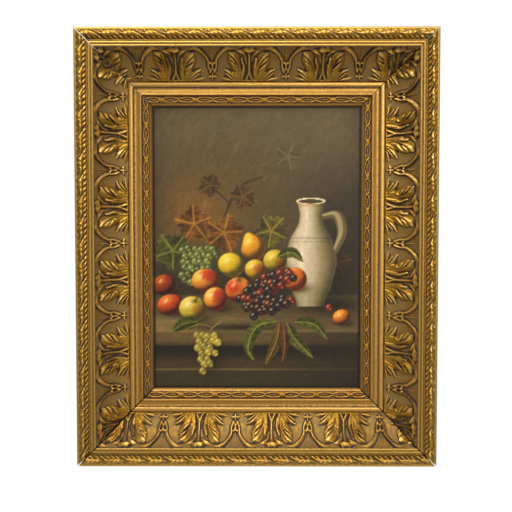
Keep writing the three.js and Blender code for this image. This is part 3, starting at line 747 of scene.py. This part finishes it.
def fruit(x, z, wide, tall, lean, dark, body, light, blush=None, pear=0.0, stalk=None):
    """A round fruit lit from the upper left; pear narrows its shoulders."""
    shadow(x + wide * 0.35, z - tall * 0.75, wide * 1.1, tall * 0.5, 0.75)
    part, u, v = near(x, z, 1.3 * max(wide, tall))
    c, s = math.cos(lean), math.sin(lean)
    a, b = u * c + v * s, v * c - u * s
    b = b / tall
    a = a / (wide * (1 - pear * ease(b, -0.3, 1.0)))
    r = np.sqrt(a * a + b * b)
    cover = ease(r, 1.03, 0.95)
    face = np.sqrt(np.clip(1 - r * r, 0, 1))
    lit = np.clip(-0.48 * (a * c - b * s) + 0.58 * (b * c + a * s) + 0.66 * face, 0, 1)
    lit = lit + 0.06 * grain[part] + 0.05 * streak[part]
    colour = tint(dark) + (tint(body) - tint(dark)) * ease(lit, 0.02, 0.62)[..., None]
    colour = colour + (tint(light) - colour) * ease(lit, 0.6, 1.0)[..., None]
    if blush:
        hue, ba, bb, reach = blush
        cheek = np.exp(-(((a - ba) ** 2 + (b - bb) ** 2) / reach ** 2)) + 0.25 * grain[part]
        colour = colour + (tint(hue) * (0.35 + 0.75 * lit[..., None]) - colour) * ease(cheek, 0.25, 0.95)[..., None] * 0.9
    rim = ease(r, 0.8, 1.0) * ease(a - b, 0.5, 1.4)
    colour = colour + tint("#3a2c18") * rim[..., None] * 0.6
    lay(part, colour, cover)
    dab(x - wide * 0.34, z + tall * 0.36, wide * 0.5, wide * 0.26, 0.9, tint("#fff6dc"), 0.5)
    if stalk:
        sx, sz = stalk
        shadow(x + sx, z + sz, wide * 0.3, wide * 0.2, 0.6)
        line([(x + sx, z + sz), (x + sx + 1.2, z + sz + 3), (x + sx + 3.2, z + sz + 5)], 1.3, tint("#4a3a20"))


def grape(x, z, size, dark, body, glow):
    """A grape: dark to the left of its light, with the light caught inside its far
    side and one bright touch on its skin."""
    part, u, v = near(x, z, size * 1.4)
    a, b = u / size, v / (size * 1.06)
    r = np.sqrt(a * a + b * b)
    lit = 0.5 + 0.34 * (b - a) + 0.2 * grain[part]
    colour = tint(dark) + (tint(body) - tint(dark)) * ease(lit, 0.1, 0.9)[..., None]
    inner = np.exp(-(((a - 0.34) ** 2 + (b + 0.42) ** 2) / 0.16))
    colour = colour + (tint(glow) - colour) * 0.75 * inner[..., None]
    colour = colour * (1 - 0.45 * ease(r, 0.72, 1.0))[..., None]
    lay(part, colour, ease(r, 1.06, 0.88))
    dab(x - size * 0.3, z + size * 0.36, size * 0.75, size * 0.5, 0.7, tint("#e6e2cf"), 0.55)


def bunch(places, size, palette, spread=1.0):
    """Grapes heaped from the back forward, each of a colour from the palette."""
    for x, z in places:
        dark, body, glow = palette[dice.integers(len(palette))]
        grape(x + dice.uniform(-spread, spread), z + dice.uniform(-spread, spread), size * dice.uniform(0.88, 1.12), dark, body, glow)


def leaf(path, wide, dark, body, vein, teeth=9):
    """A toothed leaf along a bent midrib, lighter on one half, with its veins."""
    spine = smooth_line(path, 1.2)
    middle = spine[len(spine) // 2]
    reach = np.hypot(*(spine[0] - spine[-1])) * 0.6 + wide * 1.3
    part, u, v = near(middle[0], middle[1], reach)
    best = np.full(u.shape, 1e9)
    place, side = np.zeros(u.shape), np.zeros(u.shape)
    for k in range(len(spine) - 1):
        px, pz = spine[k] - middle
        dx, dz = spine[k + 1] - spine[k]
        far = (u - px) ** 2 + (v - pz) ** 2
        nearer = far < best
        best = np.where(nearer, far, best)
        place = np.where(nearer, (k + 0.5) / (len(spine) - 1), place)
        side = np.where(nearer, np.sign((u - px) * dz - (v - pz) * dx), side)
    far = np.sqrt(best)
    tooth = 1 - 0.16 * ((place * teeth + far / wide) % 1)
    half = wide * np.sin(math.pi * np.clip(place, 0.02, 0.99) ** 0.8) ** 0.8 * tooth
    lit = 0.5 + 0.28 * side - 0.3 * (far / (half + 1e-6)) * side + 0.22 * grain[part] + 0.12 * streak[part]
    colour = tint(dark) + (tint(body) - tint(dark)) * ease(lit, 0.1, 1.0)[..., None]
    ribs = ease(np.abs((place * teeth * 0.8 - far / wide * 1.6) % 1 - 0.5), 0.36, 0.5) * ease(far, half, half * 0.5)
    ribs = np.maximum(ribs * 0.5, ease(far, 1.1, 0.4))
    colour = colour + (tint(vein) - colour) * 0.75 * ribs[..., None]
    edge = ease(far / (half + 1e-6), 0.82, 1.0)
    colour = colour + (tint(vein) - colour) * 0.35 * (edge * (side > 0))[..., None]
    lay(part, colour, ease(far, half + 0.7, half - 0.5))


def vine_leaf(x, z, size, turn, dark, body, vein):
    """A broad lobed leaf seen flat, with ribs running out to its five points."""
    part, u, v = near(x, z, size * 1.25)
    angle = np.arctan2(v, u) - turn
    r = np.hypot(u, v) / size
    lobes = 0.66 + 0.24 * np.abs(np.cos(2.5 * angle)) + 0.06 * np.cos(17 * angle) - 0.18 * ease(np.cos(angle), -0.7, -1.0)
    ribs = ease(np.abs((angle / (math.tau / 5) + 0.5) % 1 - 0.5) * r * 5, 0.28, 0.08)
    lit = 0.5 + 0.3 * np.sin(2.5 * angle + 0.6) * r + 0.3 * grain[part] + 0.15 * streak[part]
    colour = tint(dark) + (tint(body) - tint(dark)) * ease(lit, 0.0, 1.0)[..., None]
    colour = colour + (tint(vein) - colour) * 0.6 * ribs[..., None]
    edge = ease(r / lobes, 0.84, 1.0)
    colour = colour + (tint(vein) - colour) * 0.4 * edge[..., None] * ease(v - u, -size, size)[..., None]
    lay(part, colour, ease(r / lobes, 1.05, 0.93))


# The wall behind: warm grey above, a brown glow to the left, deep shade to the right.
grain = 0.6 * mottle(4, 4) + 0.4 * mottle(2.2, 2.2)
streak = mottle(9, 2.5)
ALL = (slice(None), slice(None))
lay(ALL, tint("#4b453c"), np.ones(PX.shape))
lay(ALL, tint("#655d54"), 0.75 * ease(PZ, 60, 190))
lay(ALL, tint("#2b2620"), 0.85 * ease(PX, 30, 125) * ease(PZ, 150, 20))
lay(ALL, tint("#7d5f33"), 0.8 * np.exp(-(((PX + 78) / 62) ** 2 + ((PZ - 52) / 52) ** 2)))
lay(ALL, tint("#5c4a2c"), 0.5 * np.exp(-(((PX + 20) / 70) ** 2 + ((PZ - 70) / 60) ** 2)))
lay(ALL, tint("#26221c"), 0.65 * ease(PZ, 20, -60))
lay(ALL, tint("#2d2924"), 0.35 * ease(np.abs(PX), 110, 152))
for _ in range(2600):
    x, z = dice.uniform(-152, 152), dice.uniform(-60, 203)
    part, u, v = near(x, z, 1.5)
    if paint[part].size:
        shade = paint[part].mean((0, 1)) * dice.uniform(0.86, 1.16)
        dab(x, z, dice.uniform(9, 24), dice.uniform(3, 6), dice.uniform(0.2, 1.5), shade, 0.35)

# The ledge: a worn stone slab over a moulded front.
LEDGE_BACK, LEDGE_FRONT, SLAB_FOOT, PANEL_TOP = -66, -117, -138, -172
lay(ALL, tint("#4f4638"), 0.95 * ease(PZ, LEDGE_BACK + 1.5, LEDGE_BACK - 1.5))
lay(ALL, tint("#857a66"), 0.8 * ease(PZ, LEDGE_BACK - 14, LEDGE_FRONT + 6) * ease(PX, 120, -110))
lay(ALL, tint("#6b604f"), 0.6 * ease(PZ, LEDGE_BACK - 26, LEDGE_FRONT))
lay(ALL, tint("#5d523f"), ease(PZ, LEDGE_FRONT + 0.8, LEDGE_FRONT - 0.8))
lay(ALL, tint("#8f8368"), 0.75 * np.exp(-((PZ - LEDGE_FRONT + 0.5) / 1.7) ** 2))
lay(ALL, tint("#3a3226"), 0.8 * ease(PZ, SLAB_FOOT + 8, SLAB_FOOT))
lay(ALL, tint("#1d1915"), ease(PZ, SLAB_FOOT + 1.5, SLAB_FOOT - 1.5))
lay(ALL, tint("#463e30"), 0.85 * ease(PZ, SLAB_FOOT - 6, PANEL_TOP + 8))
lay(ALL, tint("#8a7d60"), 0.65 * np.exp(-((PZ - PANEL_TOP) / 1.3) ** 2))
lay(ALL, tint("#38332a"), ease(PZ, PANEL_TOP, PANEL_TOP - 3))
lay(ALL, tint("#241f19"), 0.7 * ease(PX, -20, 150) * ease(PZ, LEDGE_FRONT + 4, LEDGE_FRONT - 6))
for _ in range(900):
    x, z = dice.uniform(-152, 152), dice.uniform(-203, LEDGE_BACK - 4)
    part, u, v = near(x, z, 1.5)
    if paint[part].size:
        shade = paint[part].mean((0, 1)) * dice.uniform(0.85, 1.2)
        dab(x, z, dice.uniform(10, 26), dice.uniform(1.5, 3.5), dice.uniform(-0.08, 0.08), shade, 0.4)

# Vine leaves and a bare shoot against the wall.
OLIVE, RUST, MOSS = ("#2b2a16", "#6f6a2e", "#a39a55"), ("#3a2410", "#8a5f26", "#b58c48"), ("#1f2614", "#55602c", "#8d9455")
line([(-50, 30), (-38, 62), (-20, 88), (8, 100)], 2.2, tint("#3a3020"), 0.8)
line([(-38, 62), (-58, 80), (-84, 84)], 1.6, tint("#3a3020"), 0.7)
vine_leaf(-20, 72, 21, 0.6, "#2c2416", "#5c4420", "#7d6234")
vine_leaf(-66, 88, 19, 2.4, "#2c2416", "#54401f", "#7a6032")
vine_leaf(-88, 34, 30, 2.9, *RUST)
vine_leaf(-46, 22, 31, -1.2, *RUST)
vine_leaf(-118, -4, 30, 2.2, *MOSS)
vine_leaf(20, 24, 27, 0.8, *OLIVE)
vine_leaf(112, -20, 24, 0.2, "#231c12", "#4e3a1e", "#6e5530")
vine_leaf(44, 128, 22, 1.2, "#45423a", "#5c5a4c", "#77745f")

# The jug: plain cream stoneware with a pulled handle.
JUG_X, JUG_FOOT, JUG_RIM = 76, -82, 66
jug_levels = [JUG_FOOT, JUG_FOOT + 5, JUG_FOOT + 24, JUG_FOOT + 62, JUG_FOOT + 94, JUG_FOOT + 116, JUG_FOOT + 132, JUG_RIM]
jug_halves = [20, 19, 28, 38, 30, 17, 15.5, 20]
shadow(JUG_X + 24, JUG_FOOT + 2, 52, 14, 0.9)
shadow(JUG_X + 34, JUG_FOOT + 50, 26, 60, 0.55)
line([(JUG_X + 15, 44), (JUG_X + 36, 46), (JUG_X + 44, 22), (JUG_X + 34, -6)], 7.0, tint("#5e574a"), 0.9)
line([(JUG_X + 15, 46), (JUG_X + 35, 48), (JUG_X + 42, 24), (JUG_X + 33, -2)], 3.4, tint("#a09784"), 0.8)
bend = np.interp(PZ, jug_levels, jug_halves)
bend = 0.25 * (np.roll(bend, 4, 0) + np.roll(bend, -4, 0)) + 0.5 * bend
turn = (PX - JUG_X) / bend
body = np.interp(np.clip(turn, -1, 1), [-1, -0.75, -0.35, 0.1, 0.55, 0.9, 1], [0.66, 0.92, 1.0, 0.86, 0.58, 0.34, 0.42])
body = body * (1 - 0.25 * ease(PZ, -30, -85)) + 0.03 * grain + 0.02 * streak
sides = ease(np.abs(turn), 1.02, 0.96) * ease(PZ, JUG_FOOT - 1.5, JUG_FOOT + 0.5) * ease(PZ, JUG_RIM + 0.6, JUG_RIM - 0.8)
lay(ALL, tint("#e2d9c4") * body[..., None], sides)
lay(ALL, tint("#a8713f") * body[..., None], 0.35 * sides * np.exp(-((PZ - JUG_RIM + 5) / 3.2) ** 2))
lay(ALL, tint("#6e7a72") * body[..., None], 0.45 * sides * np.exp(-((PZ - 14) / 1.2) ** 2))
lay(ALL, tint("#6e7a72") * body[..., None], 0.35 * sides * np.exp(-((PZ - 9) / 0.9) ** 2))
part, u, v = near(JUG_X, JUG_RIM, 26)
lay(part, tint("#efe6d2"), ease((u / 20.5) ** 2 + (v / 4.6) ** 2, 1.08, 0.92))
lay(part, tint("#4a3f30"), ease((u / 17.5) ** 2 + ((v + 0.4) / 3.2) ** 2, 1.1, 0.85))
dab(JUG_X - 13, -14, 30, 5, 1.45, tint("#fffaf0"), 0.55)
dab(JUG_X - 6, 46, 16, 3, 1.55, tint("#fffaf0"), 0.5)

# Green grapes behind the heap, then fruit from the back forward.
GREEN = [("#2c3a24", "#6f8353", "#a9b86e"), ("#34402a", "#7d8f5e", "#c1c77b"), ("#26331f", "#5a6e44", "#8fa05c")]
DARK = [("#140d12", "#3a2630", "#6b3338"), ("#1a0f14", "#57222a", "#a8402c"), ("#0f0d14", "#2b2a3a", "#4a4558"), ("#2a0f12", "#8a2f25", "#d4603a")]
PALE = [("#5b5a24", "#b5ae55", "#e6dc84"), ("#4c4d20", "#9c9848", "#d8cf74"), ("#6a6426", "#c4b85a", "#f0e490")]
bunch([(-104 + 8.5 * k + 4 * (j % 2), -2 - 9 * j) for j in range(6) for k in range(max(1, 6 - j // 2))], 5.6, GREEN, 1.8)
fruit(-6, 2, 18, 21, 0.35, "#4d3408", "#cf951c", "#f3cf5a", pear=0.42, stalk=(4, 20))
fruit(26, -18, 17, 16, 0.0, "#3f3a0c", "#a89a2a", "#dccf62", ("#b9772a", 0.5, -0.2, 0.7))
fruit(-36, -24, 19, 17, -0.5, "#4a4208", "#c4b022", "#efe269")
fruit(54, -44, 17, 17, 0.0, "#4a1f0a", "#c46c22", "#f0b04c", ("#a93a1e", -0.4, 0.3, 0.7))
fruit(-130, -52, 16, 15, 0.0, "#2a0f08", "#7d3018", "#b05a30")
fruit(-122, -80, 19, 15, 0.2, "#3a1208", "#a8401c", "#d97a42")
fruit(-72, -46, 20, 17, 0.0, "#4a1c0a", "#c9863a", "#f0cf7a", ("#b83a22", 0.2, 0.5, 0.75))
fruit(-26, -58, 19, 17, 0.3, "#4a1608", "#d08a34", "#f5dc8c", ("#c03522", -0.3, 0.35, 0.8), stalk=(1, 13))
fruit(-58, -72, 17, 17, 0.0, "#45150a", "#cf8f3e", "#f2d684", ("#bb3a24", 0.35, 0.25, 0.8))
fruit(-90, -86, 20, 18, -0.25, "#3d3a10", "#b3a845", "#e8dd8a", ("#b8862e", 0.45, 0.1, 0.6), stalk=(3, 11))
leaf([(-2, -36), (4, -58), (-8, -78)], 9, "#2a1c0e", "#6a4a22", "#9a7c44")
fruit(18, -52, 16, 15, 0.2, "#4a1408", "#b5451f", "#e59a4c")
fruit(-2, -30, 15, 14, -0.1, "#4d400c", "#b99a2a", "#e6d26c", ("#b5622a", 0.4, 0.0, 0.7))
leaf([(30, -12), (50, -6), (66, -20)], 8, "#23280f", "#5c6a2e", "#99a25c")
bunch([(8 + 9.0 * k + 4.5 * (j % 2) - 8 * j, -42 - 7.4 * j + 0.5 * k * k) for j in range(4) for k in range(5 + j)], 5.9, DARK, 3.0)
bunch([(-26 + 8.6 * k + 4 * (j % 2) + 6 * j, -70 - 6.6 * j - 0.25 * (k - 4) ** 2) for j in range(4) for k in range(10 - 2 * j)], 5.9, DARK, 3.0)
fruit(120, -98, 13, 11.5, 0.3, "#3a1c06", "#b0661a", "#e8a84a")
grape(102, -84, 5.6, *DARK[3])

# Leaves and one pale bunch hanging over the front of the ledge.
shadow(-20, -112, 80, 7, 0.8)
leaf([(-84, -104), (-104, -108), (-120, -118)], 10, "#1c2412", "#4c5a2a", "#87915a")
leaf([(26, -104), (0, -112), (-12, -140), (-4, -160)], 9.5, "#222a14", "#66703a", "#a3a868")
leaf([(32, -106), (28, -132), (12, -166)], 8.5, "#2a2212", "#6e5a2c", "#a68d52")
leaf([(42, -106), (54, -128), (80, -156)], 9.5, "#252a14", "#5f6632", "#a0a264")
leaf([(54, -104), (82, -108), (100, -130)], 9, "#20280f", "#5a6a30", "#99a062")
leaf([(38, -108), (40, -138), (36, -162)], 6, "#2c1c10", "#6a4226", "#8e6a42")
line([(-50, -104), (-62, -112), (-68, -122)], 1.6, tint("#8a8248"), 0.9)
line([(-62, -112), (-82, -108), (-102, -116)], 1.3, tint("#7a7440"), 0.8)
shadow(-66, -150, 20, 34, 0.7)
bunch([(-86 + 8.4 * k + 4.2 * (j % 2) + 1.6 * j, -124 - 8.2 * j) for j in range(7) for k in range(max(1, 4 - j // 2))], 5.4, PALE, 1.5)

# Old varnish has yellowed the picture, the darks most.
pale = ease(paint.min(-1), 0.35, 0.7)[..., None]
paint *= np.array([1.12, 1.02, 0.7]) * (1 - pale) + np.array([1.06, 1.0, 0.9]) * pale
# Painted shadow of the frame's lip: a near-black band along the edge of the opening.
lay(ALL, tint("#0b0908"), 0.92 * ease(np.maximum(np.abs(PX) - 145.5, np.abs(PZ) - 197.75), -3.4, -1.2))


def closed_canvas():
    """The cloth as a closed tray: its face as painted, its folded sides and its back."""
    half_w, half_h = CANVAS_WIDTH / 2, CANVAS_HEIGHT / 2
    face = np.stack([PX.ravel(), np.full(PX.size, -float(CANVAS_FACE)), PZ.ravel()], -1)
    ends = [(-half_w, -half_h), (half_w, -half_h), (half_w, half_h), (-half_w, half_h)]
    rim = [(x, -CANVAS_BACK, z) for x, z in ends]
    inner_rim = [(x - math.copysign(CLOTH, x), -CANVAS_BACK, z - math.copysign(CLOTH, z)) for x, z in ends]
    inner_face = [(x, -CANVAS_FACE + CLOTH, z) for x, _, z in inner_rim]
    points = np.concatenate([face, rim, inner_rim, inner_face]) + [0, 0, MIDDLE_Z]
    at = np.arange(PX.size).reshape(PX.shape)
    quads = np.stack([at[:-1, :-1], at[:-1, 1:], at[1:, 1:], at[1:, :-1]], -1).reshape(-1, 4)
    outer, inner, back = (PX.size + 4 * k + np.arange(4) for k in range(3))
    edges = [at[0, ::-1], at[::-1, -1], at[-1, :], at[:, 0]]
    faces = list(quads)
    for k in range(4):
        k2 = (k + 1) % 4
        faces.append(np.concatenate([edges[k], [outer[k], outer[k2]]]))
        faces.append([outer[k], inner[k], inner[k2], outer[k2]])
        faces.append([inner[k], back[k], back[k2], inner[k2]])
    faces.append([back[0], back[3], back[2], back[1]])
    kinds = [0] * len(quads) + [1] * (len(faces) - len(quads))
    return mesh_object("painted_canvas", points * MM, faces, kinds)


canvas = closed_canvas()
colours = np.ones((len(canvas.data.vertices), 4))
colours[:, :3] = to_linear(tint("#b7a98d"))
colours[: PX.size, :3] = to_linear(np.clip(paint, 0, 1)).reshape(-1, 3)
layer = canvas.data.attributes.new("paint", "FLOAT_COLOR", "POINT")
layer.data.foreach_set("color", colours.astype(np.float32).ravel())


def oil_paint():
    """Oil paint on primed linen under an old soft varnish: its own colours, a faint
    weave of the cloth, low ridges left by the brush, and a broad dull shine."""
    material, tree = new_material("oil_paint_on_linen")
    place = add(tree, "ShaderNodeTexCoord").outputs["Object"]
    colour = add(tree, "ShaderNodeAttribute", attribute_name="paint").outputs["Color"]
    # brush ridges 2 to 3 mm apart, slanting; threads are drawn 1.3 mm apart to show
    turned = add(tree, "ShaderNodeMapping", {"Vector": place, "Rotation": (0, 0.7, 0), "Scale": (1, 1, 0.3)})
    brush = add(tree, "ShaderNodeTexNoise", {"Vector": turned.outputs["Vector"], "Scale": 420.0, "Detail": 4.0, "Roughness": 0.65, "Distortion": 1.2})
    warp = add(tree, "ShaderNodeTexWave", {"Vector": place, "Scale": 245.0, "Distortion": 0.6}, bands_direction="X")
    weft = add(tree, "ShaderNodeTexWave", {"Vector": place, "Scale": 245.0, "Distortion": 0.6}, bands_direction="Z")
    weave = add(tree, "ShaderNodeMath", {0: warp.outputs["Fac"], 1: weft.outputs["Fac"]}, operation="MULTIPLY")
    height = add(tree, "ShaderNodeMath", {0: weave.outputs[0], 1: 0.25, 2: brush.outputs["Fac"]}, operation="MULTIPLY_ADD")
    bump = add(tree, "ShaderNodeBump", {"Height": height.outputs[0], "Strength": 0.5, "Distance": 0.0006})
    touched = add(tree, "ShaderNodeMapRange", {"Value": brush.outputs["Fac"], "From Min": 0.3, "From Max": 0.7, "To Min": 0.86, "To Max": 1.12})
    scaled = add(tree, "ShaderNodeVectorMath", {0: colour, "Scale": touched.outputs[0]}, operation="SCALE")
    sheen = add(tree, "ShaderNodeMapRange", {"Value": brush.outputs["Fac"], "From Min": 0.3, "From Max": 0.7, "To Min": 0.36, "To Max": 0.5})
    surface(tree, {"Base Color": scaled.outputs["Vector"], "Roughness": sheen.outputs[0], "Specular IOR Level": 0.35, "Normal": bump.outputs["Normal"]})
    return material


def raw_linen():
    """The back and folded edges of the cloth: unbleached linen, threads about 0.7 mm
    apart drawn at 1.5 mm to show, browned by age."""
    material, tree = new_material("unbleached_linen")
    place = add(tree, "ShaderNodeTexCoord").outputs["Object"]
    warp = add(tree, "ShaderNodeTexWave", {"Vector": place, "Scale": 210.0, "Distortion": 1.0, "Detail": 1.0}, bands_direction="X")
    weft = add(tree, "ShaderNodeTexWave", {"Vector": place, "Scale": 210.0, "Distortion": 1.0, "Detail": 1.0}, bands_direction="Z")
    slubs = add(tree, "ShaderNodeTexNoise", {"Vector": place, "Scale": 60.0, "Detail": 5.0, "Roughness": 0.6})
    weave = add(tree, "ShaderNodeMath", {0: warp.outputs["Fac"], 1: weft.outputs["Fac"]}, operation="MAXIMUM")
    mixed = add(tree, "ShaderNodeMath", {0: weave.outputs[0], 1: 0.4, 2: slubs.outputs["Fac"]}, operation="MULTIPLY_ADD")
    colour = add(tree, "ShaderNodeValToRGB", {"Fac": mixed.outputs[0]})
    colour.color_ramp.elements[0].position, colour.color_ramp.elements[0].color = 0.1, linear("#6e5c41")
    colour.color_ramp.elements[1].position, colour.color_ramp.elements[1].color = 0.95, linear("#b39d75")
    bump = add(tree, "ShaderNodeBump", {"Height": mixed.outputs[0], "Strength": 0.5, "Distance": 0.0005})
    surface(tree, {"Base Color": colour.outputs["Color"], "Roughness": 0.9, "Normal": bump.outputs["Normal"]})
    return material


for material in (oil_paint(), raw_linen()):
    canvas.data.materials.append(material)
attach(canvas, "root")
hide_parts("canvas")

# ---- Stretcher ---------------------------------------------------------------------
# Four bevelled pine bars, mitred and slotted into each other, that hold the canvas
# tight. They keep their built shape and take bare pine.
LYING_PINE = planed_pine("lying_bare_pine", "#cfae7c", "#96703f", run="X")
UPRIGHT_PINE = planed_pine("upright_bare_pine", "#c9a673", "#8f6a3a", run="Z")
for rail in RAILS:
    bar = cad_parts[f"{rail}_stretcher_bar"]
    bar.data.materials.clear()
    bar.data.materials.append(UPRIGHT_PINE if rail in ("left", "right") else LYING_PINE)


# ---- Floor and light ---------------------------------------------------------------
# A pale floor well below the hung frame, a broad soft lamp above and in front, a
# fainter one behind the camera, and a white room that is brighter above than below.
FLOOR_Z = -1.25
floor_half = 1.15
floor = mesh_object("floor", [(-floor_half, -floor_half, FLOOR_Z), (floor_half, -floor_half, FLOOR_Z), (floor_half, floor_half, FLOOR_Z), (-floor_half, floor_half, FLOOR_Z)], [[0, 1, 2, 3]])
pale, tree = new_material("pale_floor")
speck = add(tree, "ShaderNodeTexNoise", {"Vector": add(tree, "ShaderNodeTexCoord").outputs["Object"], "Scale": 40.0})
shade = add(tree, "ShaderNodeMapRange", {"Value": speck.outputs["Fac"], "To Min": 0.72, "To Max": 0.78})
surface(tree, {"Base Color": shade.outputs[0], "Roughness": 0.8})
floor.data.materials.append(pale)

world = bpy.data.worlds.new("studio")
bpy.context.scene.world = world
world.use_nodes = True
tree = world.node_tree
tree.nodes.clear()
way = add(tree, "ShaderNodeTexCoord").outputs["Generated"]
height = add(tree, "ShaderNodeSeparateXYZ", {"Vector": way}).outputs["Z"]
glow = add(tree, "ShaderNodeMapRange", {"Value": height, "From Min": -0.6, "From Max": 1.0, "To Min": 0.12, "To Max": 0.8})
room = add(tree, "ShaderNodeBackground", {"Color": (1, 1, 1, 1), "Strength": glow.outputs[0]})
backdrop = add(tree, "ShaderNodeBackground", {"Color": (1, 1, 1, 1), "Strength": 1.0})
seen = add(tree, "ShaderNodeLightPath").outputs["Is Camera Ray"]
both = add(tree, "ShaderNodeMixShader", {0: seen, 1: room.outputs[0], 2: backdrop.outputs[0]})
add(tree, "ShaderNodeOutputWorld", {"Surface": both.outputs[0]})
bpy.context.scene.view_settings.view_transform = "Standard"


def soft_lamp(name, place, target, wide, tall, power, colour):
    """A rectangular soft lamp at a place, turned to a target."""
    light = bpy.data.lights.new(name, "AREA")
    light.shape = "RECTANGLE"
    light.size, light.size_y, light.energy = wide, tall, power
    light.color = linear(colour)[:3]
    lamp = bpy.data.objects.new(name, light)
    lamp.location = place
    aim = np.array(target) - np.array(place)
    lamp.rotation_euler = Vector(aim).to_track_quat("-Z", "Y").to_euler()
    bpy.context.scene.collection.objects.link(lamp)


MIDDLE = (0, 0, MIDDLE_Z * MM)
soft_lamp("overhead_softbox", (-0.3, -0.8, 1.25), MIDDLE, 1.3, 0.8, 19, "#fff4e4")
soft_lamp("window", (0.9, -3.0, 0.6), MIDDLE, 0.9, 1.3, 30, "#fbf6ee")
